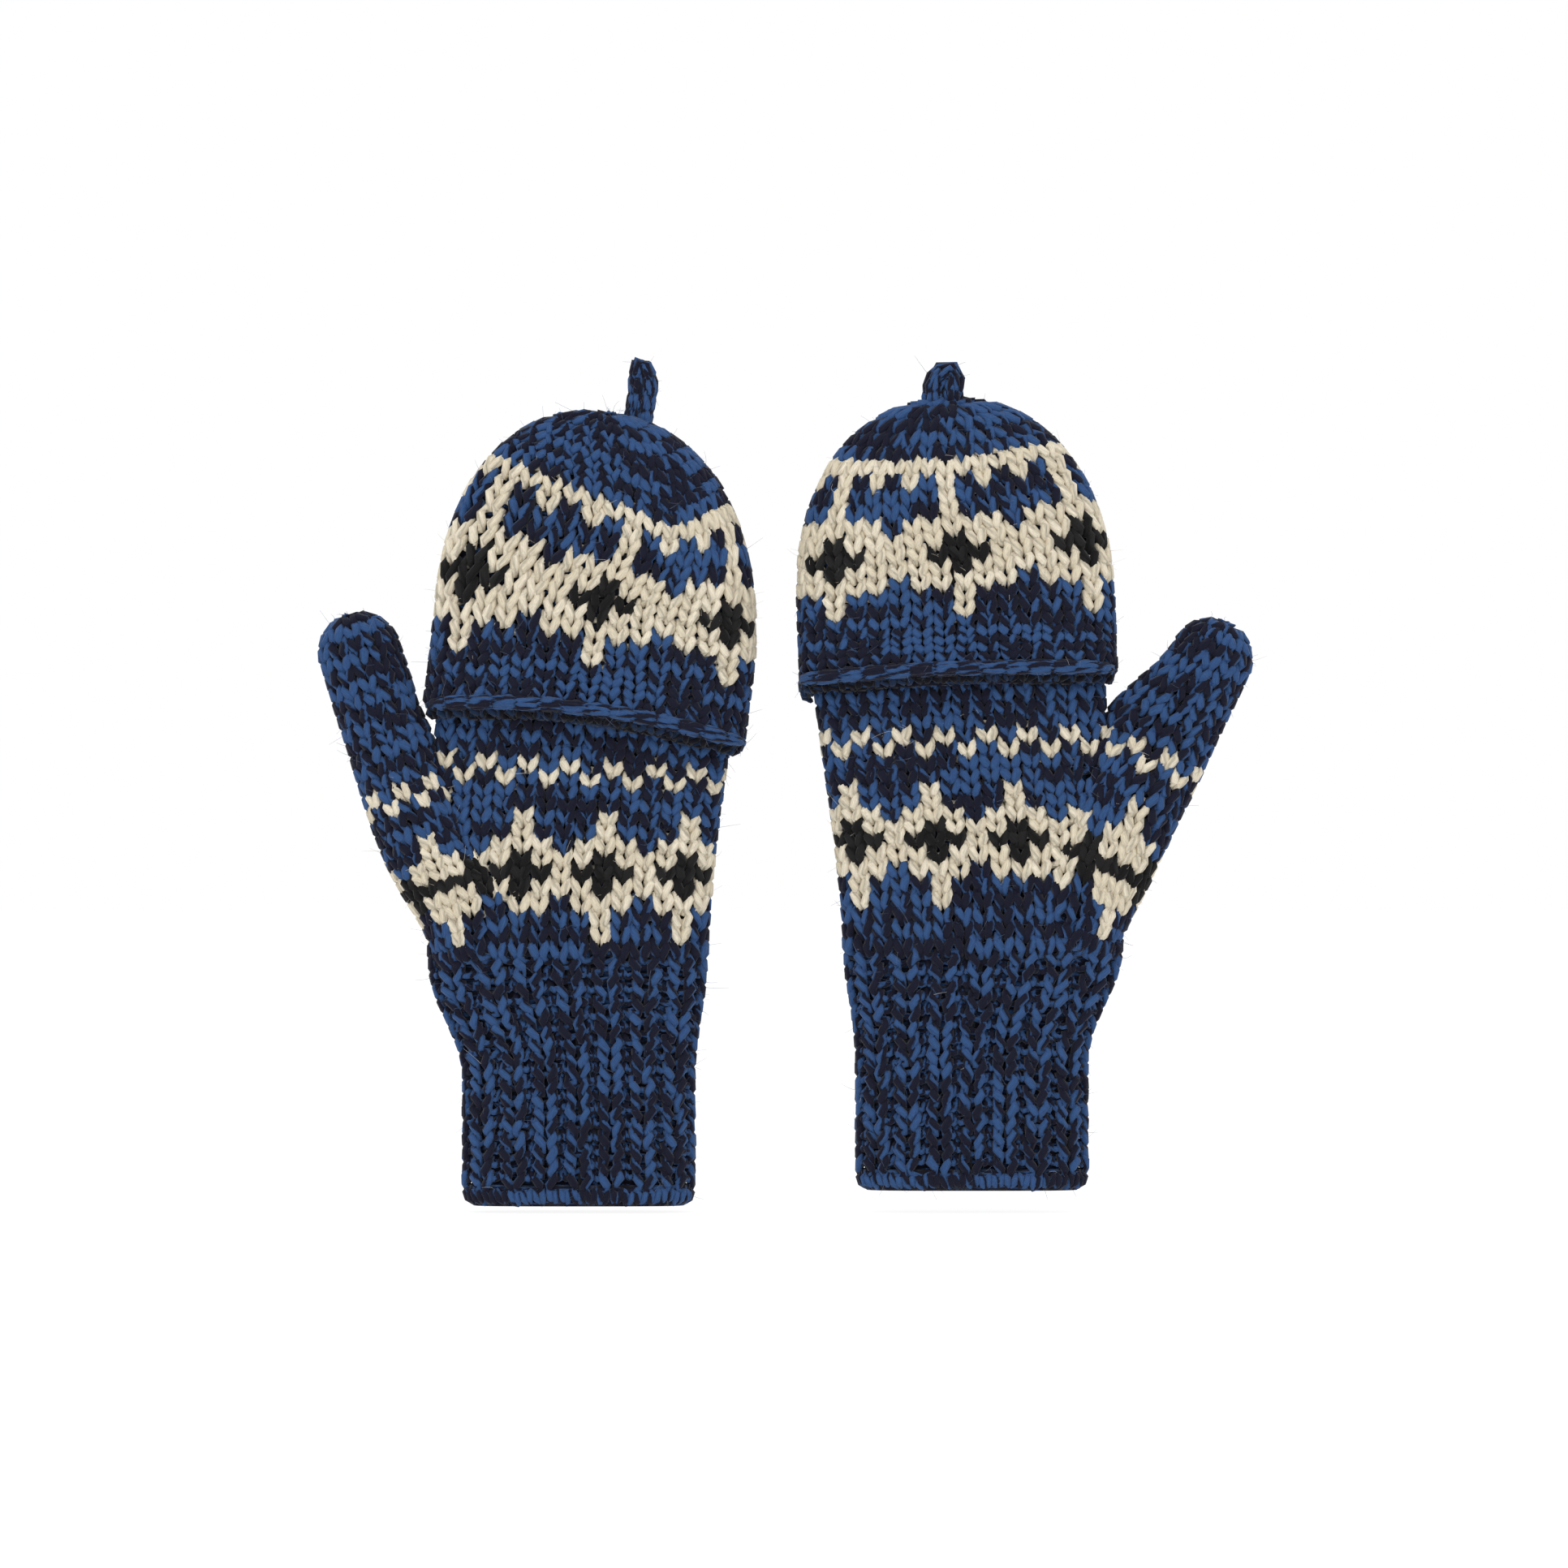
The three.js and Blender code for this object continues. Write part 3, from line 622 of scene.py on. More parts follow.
def chartCodes(columns, line):
    # the colours of a course: the chart's line repeated both ways from the palm to the back
    letters = np.array(list(line))
    half = columns // 2
    return letters[((np.arange(columns) + half) % columns - half) % len(letters)]


# the purl side of the fabric: its stitches' size, and how dark it is made as painted shade, the whole wall
# behind the stitches (shade) and the hollows between its bumps (hollow)
purls = {"width": 6.5, "tall": 4.6, "shade": 0.8, "arch": 0.22, "hollow": 0.35, "fibres": 9.0,
         "stretch": (0.9, 3.1, 1.0)}

def wallPart(surface, levels, inset, thickness, turns=None, cells=96, backLevels=None):
    # a felted wall behind the stitches, darkened with painted shade: a closed band of two surfaces, carried
    # round the tube
    closed = turns is None
    turns = np.linspace(-np.pi / 2, 1.5 * np.pi, cells + 1)[:-1] if closed else turns
    backLevels = levels if backLevels is None else backLevels
    loop = [(level, inset) for level in levels]
    loop += [(level, inset + thickness) for level in backLevels[::-1]]
    level, depth = np.array(loop).T
    points = surface(turns[:, None], level[None, :], depth[None, :])
    rounds, profile = len(turns), len(level)
    i = np.arange(rounds if closed else rounds - 1)[:, None]
    j = np.arange(profile)[None, :]
    a, b = i * profile, ((i + 1) % rounds) * profile
    after = (j + 1) % profile
    quads = np.stack([a + j, b + j, b + after, a + after], -1).reshape(-1, 4)
    faces = [quads]
    if not closed:
        ends = np.stack([np.arange(profile), (rounds - 1) * profile + np.arange(profile)[::-1]])
        faces.append(ends)
    corner = [(0, 0), (1, 0), (1, 1), (0, 1)]
    uv = [np.stack([np.stack(np.broadcast_arrays((i + di) / rounds, 0.92 * (j + dj) / profile), -1)
                    for di, dj in corner], -2).reshape(-1, 4, 2)]
    if not closed:
        uv.append(lidMap(2, profile))
    flat = points.reshape(-1, 3)
    girth = np.linalg.norm(np.roll(points, -1, 0) - points, axis=2).sum(0).max()
    column = (turns + np.pi / 2) / (2 * np.pi) * round(girth / purls["width"])
    spots = np.stack(np.broadcast_arrays(column[:, None], level / purls["tall"], 0.0), -1)
    # painted shade: the wall takes the marl's colours darkened by the purl side's shade share, for the shade
    # behind the stitches
    first, second = (np.broadcast_to(purls["shade"] * linear(shade), flat.shape)
                     for shade in yarnColours["marl"])
    return outward({"points": flat, "faces": faces, "uv": uv, "twist": spots.reshape(-1, 3),
                    "firstPly": first, "secondPly": second, "material": 1})


def plug(surface, low, high, radius):
    # the yarn's end, drawn up through the last stitches at a crown or a tip
    level = np.linspace(low, high, 6)
    middle = (surface(np.zeros(6), level, 0.0) + surface(np.full(6, np.pi), level, 0.0)) / 2
    return strand(middle, radius, np.array([0.0, 1.0, 0.0]), yarnColours["marl"])


def bandMap(uv, low, high):
    # a part's own map laid in its band, with a little room above and below
    return np.stack([uv[..., 0], mix(low, high, 0.01 + 0.98 * uv[..., 1])], -1)


def makePiece(name, parts, materials):
    # one mesh from several parts, in metres, with the yarn's values on its points
    offset = np.cumsum([0] + [len(part["points"]) for part in parts])
    # each part has a band of the map, as tall as its share of the faces
    sizes = np.array([sum(len(face) for face in part["faces"]) for part in parts], float)
    sizes = np.maximum(sizes, 0.02 * sizes.sum())
    bands = np.concatenate([[0], np.cumsum(sizes)]) / sizes.sum()
    faces = [(face + offset[i], bandMap(uv, bands[i], bands[i + 1]), part["material"])
             for i, part in enumerate(parts) for face, uv in zip(part["faces"], part["uv"]) if len(face)]
    loops = np.concatenate([face.ravel() for face, _, _ in faces])
    totals = np.concatenate([np.full(len(face), face.shape[1]) for face, _, _ in faces])
    slots = np.concatenate([np.full(len(face), slotNumber) for face, _, slotNumber in faces])
    used = np.zeros(offset[-1], bool)
    used[loops] = True
    renumber = np.cumsum(used) - 1
    points = np.concatenate([part["points"] for part in parts])[used] * metre
    mesh = bpy.data.meshes.new(name)
    mesh.vertices.add(len(points))
    mesh.vertices.foreach_set("co", points.astype(np.float32).ravel())
    mesh.loops.add(len(loops))
    mesh.loops.foreach_set("vertex_index", renumber[loops].astype(np.int32))
    mesh.polygons.add(len(totals))
    mesh.polygons.foreach_set("loop_start", (np.cumsum(totals) - totals).astype(np.int32))
    mesh.polygons.foreach_set("loop_total", totals.astype(np.int32))
    mesh.polygons.foreach_set("material_index", slots.astype(np.int32))
    layer = mesh.uv_layers.new(name="OFBake")
    layer.uv.foreach_set("vector", np.concatenate([uv.reshape(-1, 2) for _, uv, _ in faces])
                         .astype(np.float32).ravel())
    for key in ("twist", "firstPly", "secondPly"):
        values = np.concatenate([part[key] for part in parts])[used]
        attribute = mesh.attributes.new(key, "FLOAT_VECTOR", "POINT")
        attribute.data.foreach_set("vector", values.astype(np.float32).ravel())
    mesh.update(calc_edges=True)
    mesh.shade_smooth()
    for material in materials:
        mesh.materials.append(material)
    piece = bpy.data.objects.new(name, mesh)
    bpy.context.scene.collection.objects.link(piece)
    triangles = int(np.sum(totals - 2))
    print(f"{name}: {triangles} triangles")
    return piece


def newGroup(name, inputs, outputs):
    group = bpy.data.node_groups.new(name, "ShaderNodeTree")
    for label, kind in inputs:
        group.interface.new_socket(name=label, in_out="INPUT", socket_type=kind)
    for label, kind in outputs:
        group.interface.new_socket(name=label, in_out="OUTPUT", socket_type=kind)
    return group, group.nodes.new("NodeGroupInput"), group.nodes.new("NodeGroupOutput")


def addNode(tree, kind, inputs=(), **settings):
    # a node with its settings, and each input as a value or another node's output
    node = tree.nodes.new(kind)
    for key, value in settings.items():
        setattr(node, key, value)
    for socket, value in dict(inputs).items():
        if isinstance(value, bpy.types.NodeSocket):
            tree.links.new(value, node.inputs[socket])
        else:
            node.inputs[socket].default_value = value
    return node


# how the plies show: the ragged border between them, the painted shade in the groove between them and the
# fibres' shades
plyLook = {"stretch": (5.5, 5.5, 1.3), "ragged": 0.9, "border": (0.36, 0.56), "groove": (0.62, 1.0),
           "grooveWidth": 0.45, "grain": (0.74, 1.2), "fibreHeight": 0.7}

def spunYarnGroup():
    # two twisted plies: which ply shows, painted shade in the groove between them and the fibres along them
    group, given, result = newGroup(
        "spunYarn",
        [("Twist", "NodeSocketVector"), ("First Ply", "NodeSocketColor"), ("Second Ply", "NodeSocketColor")],
        [("Colour", "NodeSocketColor"), ("Height", "NodeSocketFloat")])
    twist = given.outputs["Twist"]
    across = addNode(group, "ShaderNodeSeparateXYZ", {0: twist}).outputs["X"]
    stretched = addNode(group, "ShaderNodeVectorMath", {0: twist, 1: plyLook["stretch"]},
                        operation="MULTIPLY")
    fibre = addNode(group, "ShaderNodeTexNoise", {"Vector": stretched.outputs[0], "Scale": 1.0, "Detail": 3.0,
                                                  "Roughness": 0.6}).outputs["Fac"]
    ragged = addNode(group, "ShaderNodeMath", {0: fibre, 1: plyLook["ragged"], 2: across},
                     operation="MULTIPLY_ADD")
    low, high = plyLook["border"]
    front = addNode(group, "ShaderNodeMapRange",
                    {"Value": ragged.outputs[0], "From Min": low, "From Max": high},
                    interpolation_type="SMOOTHSTEP")
    plies = addNode(group, "ShaderNodeMix", {"Factor": front.outputs[0], "A": given.outputs["Second Ply"],
                                             "B": given.outputs["First Ply"]}, data_type="RGBA")
    edge = addNode(group, "ShaderNodeMath", {0: across}, operation="ABSOLUTE")
    # painted shade: the colour darkens towards the groove between the plies; the same value also raises the
    # bumps
    dark, light = plyLook["groove"]
    groove = addNode(group, "ShaderNodeMapRange",
                     {"Value": edge.outputs[0], "From Max": plyLook["grooveWidth"], "To Min": dark,
                      "To Max": light})
    dark, light = plyLook["grain"]
    grain = addNode(group, "ShaderNodeMapRange", {"Value": fibre, "From Min": 0.3, "From Max": 0.72,
                                                  "To Min": dark, "To Max": light})
    shade = addNode(group, "ShaderNodeMath", {0: groove.outputs[0], 1: grain.outputs[0]},
                    operation="MULTIPLY")
    colour = addNode(group, "ShaderNodeVectorMath", {0: plies.outputs["Result"], "Scale": shade.outputs[0]},
                     operation="SCALE")
    height = addNode(group, "ShaderNodeMath",
                     {0: fibre, 1: plyLook["fibreHeight"], 2: groove.outputs[0]}, operation="MULTIPLY_ADD")
    group.links.new(colour.outputs[0], result.inputs["Colour"])
    group.links.new(height.outputs[0], result.inputs["Height"])
    return group


def purlSideGroup():
    # the fabric's inner side: rows of small arched bumps, their colour changing in short runs and darkened in
    # the hollows between them as painted shade
    group, given, result = newGroup(
        "purlSide",
        [("Place", "NodeSocketVector"), ("First Ply", "NodeSocketColor"), ("Second Ply", "NodeSocketColor")],
        [("Colour", "NodeSocketColor"), ("Height", "NodeSocketFloat")])
    split = addNode(group, "ShaderNodeSeparateXYZ", {0: given.outputs["Place"]})
    column, row = split.outputs["X"], split.outputs["Y"]
    along = addNode(group, "ShaderNodeMath", {0: column, 1: 2 * math.pi}, operation="MULTIPLY")
    arch = addNode(group, "ShaderNodeMath", {0: along.outputs[0]}, operation="COSINE")
    raised = addNode(group, "ShaderNodeMath", {0: arch.outputs[0], 1: purls["arch"], 2: row},
                     operation="MULTIPLY_ADD")
    across = addNode(group, "ShaderNodeMath", {0: raised.outputs[0], 1: 2 * math.pi}, operation="MULTIPLY")
    wave = addNode(group, "ShaderNodeMath", {0: across.outputs[0]}, operation="SINE")
    stretched = addNode(group, "ShaderNodeVectorMath", {0: given.outputs["Place"], 1: purls["stretch"]},
                        operation="MULTIPLY")
    patches = addNode(group, "ShaderNodeTexNoise",
                      {"Vector": stretched.outputs[0], "Scale": 1.0, "Detail": 2.0})
    fibre = addNode(group, "ShaderNodeTexNoise",
                    {"Vector": given.outputs["Place"], "Scale": purls["fibres"], "Detail": 3.0})
    front = addNode(group, "ShaderNodeMapRange", {"Value": patches.outputs["Fac"], "From Min": 0.5,
                                                  "From Max": 0.56}, interpolation_type="SMOOTHSTEP")
    plies = addNode(group, "ShaderNodeMix", {"Factor": front.outputs[0], "A": given.outputs["Second Ply"],
                                             "B": given.outputs["First Ply"]}, data_type="RGBA")
    # painted shade: the colour darkens in the hollows between the bumps
    shade = addNode(group, "ShaderNodeMapRange", {"Value": wave.outputs[0], "From Min": -1.0,
                                                  "To Min": purls["hollow"], "To Max": 1.0})
    colour = addNode(group, "ShaderNodeVectorMath", {0: plies.outputs["Result"], "Scale": shade.outputs[0]},
                     operation="SCALE")
    height = addNode(group, "ShaderNodeMath", {0: fibre.outputs["Fac"], 1: 0.5, 2: wave.outputs[0]},
                     operation="MULTIPLY_ADD")
    group.links.new(colour.outputs[0], result.inputs["Colour"])
    group.links.new(height.outputs[0], result.inputs["Height"])
    return group


wool = {"roughness": 0.92, "specular": 0.15, "sheen": 0.12, "innerSheen": 0.08, "sheenRoughness": 0.4,
        "bump": 0.7, "innerBump": 1.0, "bumpDepth": 0.0005}

def yarnMaterial(name, group, sheen, bump):
    # wool whose colour and bumps come from a group, read from the yarn's values on the points
    material = bpy.data.materials.new(name)
    material.use_nodes = True
    tree = material.node_tree
    surface = tree.nodes["Principled BSDF"]
    spun = addNode(tree, "ShaderNodeGroup", {}, node_tree=group)
    for number, attribute in enumerate(("twist", "firstPly", "secondPly")):
        read = addNode(tree, "ShaderNodeAttribute", {}, attribute_name=attribute)
        tree.links.new(read.outputs["Vector"], spun.inputs[number])
    raised = addNode(tree, "ShaderNodeBump", {"Strength": bump, "Distance": wool["bumpDepth"],
                                              "Height": spun.outputs["Height"]})
    tree.links.new(spun.outputs["Colour"], surface.inputs["Base Color"])
    tree.links.new(raised.outputs["Normal"], surface.inputs["Normal"])
    surface.inputs["Roughness"].default_value = wool["roughness"]
    surface.inputs["Specular IOR Level"].default_value = wool["specular"]
    surface.inputs["Sheen Weight"].default_value = sheen
    surface.inputs["Sheen Roughness"].default_value = wool["sheenRoughness"]
    return material


materials = [yarnMaterial("spun wool", spunYarnGroup(), wool["sheen"], wool["bump"]),
             yarnMaterial("purl side", purlSideGroup(), wool["innerSheen"], wool["innerBump"])]
print("wool materials made")


def ribCourses(mitten, turnAt):
    # one knit and one purl stitch by turns: the purls are narrow and sink behind
    shape = cuffShape
    low, rows = shape["ribsFrom"], mitten["cuffRows"]
    pitch = (mitten["handStart"] - low) / rows
    pair = np.repeat(np.arange(shape["pairs"]), 2)
    purl = np.tile([False, True], shape["pairs"])
    share = shape["knitShare"]
    start = (pair + np.where(purl, share, 0) - share / 2) / shape["pairs"]
    width = np.where(purl, 1 - share, share) / shape["pairs"]
    courses = []
    for row in range(rows):
        one = course(row, len(pair), low + pitch * (row + 0.5), pitch, turnAt)
        one.update(start=start, width=width, face=np.where(purl, -1.0, 1.0),
                   sink=np.where(purl, shape["purlSink"], 0.0))
        courses.append(one)
    return courses


def makeCuff(mitten):
    shape = cuffShape
    surface = handSurface(mitten)
    turnAt = evenTurns(surface, 20)[0]
    ribs = knit(surface, ribCourses(mitten, turnAt), ribKnit, 11)
    levels = np.linspace(shape["ribsFrom"] - 1, mitten["handStart"], 20)
    wall = wallPart(surface, levels, shape["feltInset"], fabric["felt"])
    cuff = makePiece(f"{mitten['name']}_ribbed_cuff", [ribs, fuzzPart(ribs, 13), wall], materials)
    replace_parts(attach(cuff, f"{mitten['name']}_mitten"), f"{mitten['name']}_cuff")
    band = course(0, shape["edgeColumns"], shape["edgeLevel"], shape["edgePitch"], turnAt)
    edge = knit(surface, [band], castOn, 12)
    levels = np.linspace(0.2, shape["ribsFrom"] + 1, 5)
    wall = wallPart(surface, levels, shape["edgeInset"], shape["edgeFelt"])
    foot = makePiece(f"{mitten['name']}_cast_on_edge", [edge, fuzzPart(edge, 14), wall], materials)
    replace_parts(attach(foot, f"{mitten['name']}_mitten"), f"{mitten['name']}_cuff_edge")


def rowLevel(marks, row):
    # the level of a course's middle: straight between the marked courses and beyond them
    rows, levels = np.array(marks, float).T
    low = levels[0] + (row - rows[0]) * (levels[1] - levels[0]) / (rows[1] - rows[0])
    high = levels[-1] + (row - rows[-1]) * (levels[-1] - levels[-2]) / (rows[-1] - rows[-2])
    return np.where(row < rows[0], low, np.where(row > rows[-1], high, np.interp(row, rows, levels)))


# Pattern charts, bottom course first; a line is one repeat and starts at the diamond's middle
handBand = ["w...", "w...", "ww.w", "kwww", "kkwk", "kwww", "ww.w", "w...", "w..."]
gussetBand = ["w...", "w...", "ww.w", "wwkw", "kkkk", "wwkw", "ww.w", "w...", "w..."]
capBand = ["w.....", "w.....", "www.ww", "kwwwww", "kkwwwk", "kwwwww", "www.ww",
           "w.....", "w.....", "w.w.w.", "wwwwww"]
dotBand = (".w", "w.")

def bandLine(row, bandRow, band, dotRow=None, dots=()):
    # the chart's line for a course, or plain marl
    if bandRow <= row < bandRow + len(band):
        return band[row - bandRow]
    if dotRow is not None and dotRow <= row < dotRow + len(dots):
        return dots[row - dotRow]
    return "."


# where the hand's stitches are spaced, the room above its last course, and how much of the gusset's
# section hides them
handShape = {"spacedAt": 115.0, "topRoom": 1.2, "hiddenShare": 0.8, "footRows": 2}

def makeHand(mitten):
    surface = handSurface(mitten)
    turnAt, girth = evenTurns(surface, handShape["spacedAt"])
    columns = mitten["handColumns"]
    shift = mitten["handPeak"] * columns / girth - 0.5
    marks = mitten["handMarks"]
    top = mitten["knuckleHeight"] - handShape["topRoom"]
    courses, row = [], 0
    while rowLevel(marks, row + 0.4) < top:
        level = float(rowLevel(marks, row))
        pitch = float(rowLevel(marks, row + 0.5) - rowLevel(marks, row - 0.5))
        codes = chartCodes(columns, bandLine(row, mitten["bandRow"], handBand, mitten["dotRow"],
                                             mitten["dots"]))
        one = course(row, columns, level, pitch, turnAt, shift, codes)
        middle = turnAt(one["start"] + one["width"] / 2)
        spots = surface(middle, np.full(columns, level), 2.0)
        one["keep"] = ~insideThumb(mitten, spots, handShape["hiddenShare"])
        if row < mitten["bandRow"] + handShape["footRows"]:  # beside the gusset diamonds have no foot
            out = mitten["side"] * (spots[:, 0] - mitten["wristX"])
            one["code"] = np.where(out > mitten["footlessFrom"], ".", codes)
        courses.append(one)
        row += 1
    stitches = knit(surface, courses, stocking, 21)
    levels = np.linspace(mitten["handStart"], mitten["knuckleHeight"], 30)
    wall = wallPart(surface, levels, fabric["feltInset"], fabric["felt"])
    hand = makePiece(f"{mitten['name']}_knitted_hand", [stitches, fuzzPart(stitches, 22), wall], materials)
    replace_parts(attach(hand, f"{mitten['name']}_mitten"), f"{mitten['name']}_hand")


def insideThumb(mitten, spots, share):
    # whether points lie inside that share of the thumb's and gusset's section
    out = mitten["side"] * (spots[:, 0] - mitten["wristX"]) - mitten["foldOut"]
    height = spots[:, 2] - mitten["lift"] - mitten["foldHeight"]
    across, level = turned(out, height, -mitten["thumbLean"])
    middle, halfWidth, halfDepth = thumbLine(mitten, level)
    power = thumbShape["squareness"]
    reach = np.abs((across - middle) / halfWidth) ** power + np.abs(spots[:, 1] / halfDepth) ** power
    lowest = rowLevel(mitten["thumbMarks"], -0.5)
    return (reach < share) & (level > lowest) & (level < thumbShape["length"] - 2)


def insideHand(mitten, spots, share):
    # whether points lie inside that share of the hand's section, below the knuckles
    height = spots[:, 2] - mitten["lift"]
    edge = handSurface(mitten)(0.0, height, 0.0)[:, 0]
    otherEdge = handSurface(mitten)(np.pi, height, 0.0)[:, 0]
    middle, halfWidth = (edge + otherEdge) / 2, np.abs(edge - otherEdge) / 2
    power = fabric["squareness"]
    reach = (np.abs((spots[:, 0] - middle) / halfWidth) ** power
             + np.abs(spots[:, 1] / fabric["handDepth"]) ** power)
    return (reach < share) & (height < mitten["knuckleHeight"])


def makeThumb(mitten):
    surface = thumbSurface(mitten)
    marks = mitten["thumbMarks"]
    turnAt, girth = evenTurns(surface, -20)
    tip = thumbShape["length"] + thumbShape["halfWidth"]
    bandMiddle = float(rowLevel(marks, thumbShape["bandMiddle"]))

    def leaning(turn, level, inset):
        # across the gusset's band the columns stand more upright than the thumb does
        reach = thumbShape["leanReach"]
        below = np.clip((bandMiddle - level) / reach, 0, 1)
        above = ease((level - bandMiddle) / reach) * (1 - ease((level - bandMiddle - reach) / reach))
        lean = thumbShape["leanBelow"] * below - thumbShape["leanAbove"] * above
        return surface(turn - lean * np.sin(turn), level, inset)

    courses, row = [], -1
    while True:
        level = float(rowLevel(marks, row))
        pitch = float(rowLevel(marks, row + 0.5) - rowLevel(marks, row - 0.5))
        arc = max(0.0, level - thumbShape["length"]) / thumbShape["halfWidth"]
        if arc > thumbShape["lastArc"]:
            break
        if arc > 0:  # over the round tip, courses keep their distance along its curve
            level = thumbShape["length"] + thumbShape["halfWidth"] * math.sin(arc)
            pitch *= max(0.3, math.cos(arc))
        gusset = row <= thumbShape["gussetRows"]
        tipColumns = max(5, round(thumbShape["tipColumns"] * math.cos(arc) ** 0.8))
        columns = thumbShape["gussetColumns"] if gusset else tipColumns
        shift = (mitten["thumbPeak"] * columns / girth - 0.5) if gusset else -0.5
        codes = chartCodes(columns, bandLine(row, 0, gussetBand, thumbShape["dotRow"], dotBand))
        one = course(row, columns, level, pitch, turnAt, shift, codes)
        middle = turnAt(one["start"] + one["width"] / 2)
        spots = leaning(middle, np.full(columns, level), 2.0)
        one["keep"] = ~insideHand(mitten, spots, thumbShape["hiddenShare"])
        courses.append(one)
        row += 1
    parts = [knit(leaning, courses, stocking, 31)]
    parts.append(fuzzPart(parts[0], 32))
    straight = np.linspace(float(rowLevel(marks, -0.5)), thumbShape["length"] - 2, 36)
    dome = np.sin(np.linspace(0.1, 0.98, 8) * np.pi / 2)
    inset, felt = fabric["feltInset"], fabric["felt"]
    levels, backLevels = (np.concatenate([straight, thumbShape["length"]
                                          + (thumbShape["halfWidth"] - depth) * dome])
                          for depth in (inset, inset + felt))
    parts.append(wallPart(surface, levels, inset, felt, cells=48, backLevels=backLevels))
    parts.append(plug(surface, tip - 5.6, tip - 1.6, 1.9))
    thumb = makePiece(f"{mitten['name']}_knitted_thumb", parts, materials)
    fold = np.array(joints[f"{mitten['name']}_thumb_fold"]["pos_m"])
    middle = fold * [1, 0, 1]
    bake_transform(thumb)
    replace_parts(thumb, f"{mitten['name']}_thumb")


def capLevels(mitten, surface):
    # levels at even distances along the middle of the palm side, up to the crown
    level = np.linspace(0, mitten["capLength"], 600)
    line = surface(np.full(600, -np.pi / 2), level, 0.0)
    length = np.concatenate([[0], np.cumsum(np.linalg.norm(np.diff(line, axis=0), axis=1))])
    return length, level


def makeCap(mitten):
    surface = capSurface(mitten)
    turnAt, girth = evenTurns(surface, 30)
    marks = mitten["capMarks"]
    length, level = capLevels(mitten, surface)
    sloped = slopedCourses(mitten, surface)
    courses, row = [], 0
    while True:
        along = float(rowLevel(marks, row))
        pitch = float(rowLevel(marks, row + 0.5) - rowLevel(marks, row - 0.5))
        if along > length[-1] - capShape["crownRoom"]:
            break
        at = float(np.interp(along, length, level))
        ahead = float(np.interp(along + 0.5, length, level))
        behind = float(np.interp(along - 0.5, length, level))
        beyond = max(0.0, (at - capShape["fullest"]) / (mitten["capLength"] - capShape["fullest"]))
        rounding = (1 - min(1, beyond) ** capShape["fullness"]) ** (1 / capShape["fullness"])
        banded = row < mitten["capRow"] + len(capBand)
        columns = mitten["capColumns"]
        if not banded:
            fit = min(1, rounding * capShape["crownFit"])
            columns = max(6, 2 * round(mitten["capColumns"] * fit / 2))
        shift = mitten["capPeak"] * mitten["capColumns"] / girth - 0.5
        codes = chartCodes(columns, bandLine(row, mitten["capRow"], capBand))
        one = course(row, columns, at, pitch * max(0.25, ahead - behind), turnAt, shift, codes)
        middle = turnAt(one["start"] + one["width"] / 2)
        spots = surface(middle, np.full(columns, at), 0.0)
        one["keep"] = (at > capShape["openTo"] + 1.2) | (spots[:, 1] < 1.0)
        courses.append(one)
        row += 1
    stitches = knit(sloped, courses, stocking, 41)
    crown = np.sin(np.linspace(0, 0.985, 26) * np.pi / 2)
    inset, felt = fabric["feltInset"], fabric["felt"]
    upper, behind = (mix(capShape["openTo"] + 0.6, mitten["capLength"] - depth, crown)
                     for depth in (inset, inset + felt))
    back = wallPart(surface, upper, inset, felt, cells=120, backLevels=behind)
    knot = plug(surface, mitten["capLength"] - 7, mitten["capLength"] - 1.8, 2.6)
    halfDepth, middle = ((capShape["back"] - way * capShape["front"]) / 2 for way in (1, -1))
    inner = np.arcsin((-middle / halfDepth) ** (fabric["squareness"] / 2))
    palm = wallPart(surface, np.linspace(capShape["foot"] - 2, capShape["openTo"] + 1, 6), inset, felt,
                    turns=np.linspace(inner, -np.pi - inner, 90)[::-1])
    cap = makePiece(f"{mitten['name']}_knitted_cap", [stitches, fuzzPart(stitches, 42), back, palm, knot],
                    materials)
    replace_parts(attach(cap, f"{mitten['name']}_cap"), f"{mitten['name']}_cap")


def capPoint(mitten, across, deep, level):
    # a point of the cap's own frame in the frame's axes
    x, z = turned(across, level, -mitten["lean"])
    return place(mitten, mitten["rimOut"] + x, deep, mitten["rimHeight"] + z)


def cordPart(route, side, shape, halfThickness, halfHeight, seed, taper=0.01):
    # a knitted cord: short courses round a route
    surface, length = cordSurface(route, side, halfThickness, halfHeight, taper)
    turnAt = evenTurns(surface, length / 2)[0]
    rows = round(length / shape["pitch"])
    pitch = length / rows
    courses = [course(row, shape["columns"], pitch * (row + 0.5), pitch, turnAt, 0.15 * row)
               for row in range(rows)]
    stitches = knit(surface, courses, cordKnit, seed)
    return [stitches, fuzzPart(stitches, seed + 1)]


def rimRoute(mitten, inset, lift):
    # a line round the palm side of the cap's edge, from one opening to the other, its points even
    halfDepth = (capShape["back"] - capShape["front"]) / 2 - inset
    middle = (capShape["back"] + capShape["front"]) / 2
    halfWidth = mitten["handHalfWidth"] + capShape["slip"] + fabric["wall"] - inset
    end = math.asin(min(1, (-(middle + 0.3) / halfDepth) ** (fabric["squareness"] / 2)))
    turn = np.linspace(end, -np.pi - end, 160)
    across, deep = section(turn, fabric["squareness"])
    tuck = rimShape["tuck"] * np.maximum(0, across) ** 6
    route = capPoint(mitten, across * halfWidth - tuck, middle + deep * halfDepth,
                     lift * rimLift(mitten, across) * np.clip(0.5 - 1.5 * deep, 0, 1))
    length = np.concatenate([[0], np.cumsum(np.linalg.norm(np.diff(route, axis=0), axis=1))])
    even = np.linspace(0, length[-1], 160)
    return np.stack([np.interp(even, length, route[:, k]) for k in range(3)], -1)


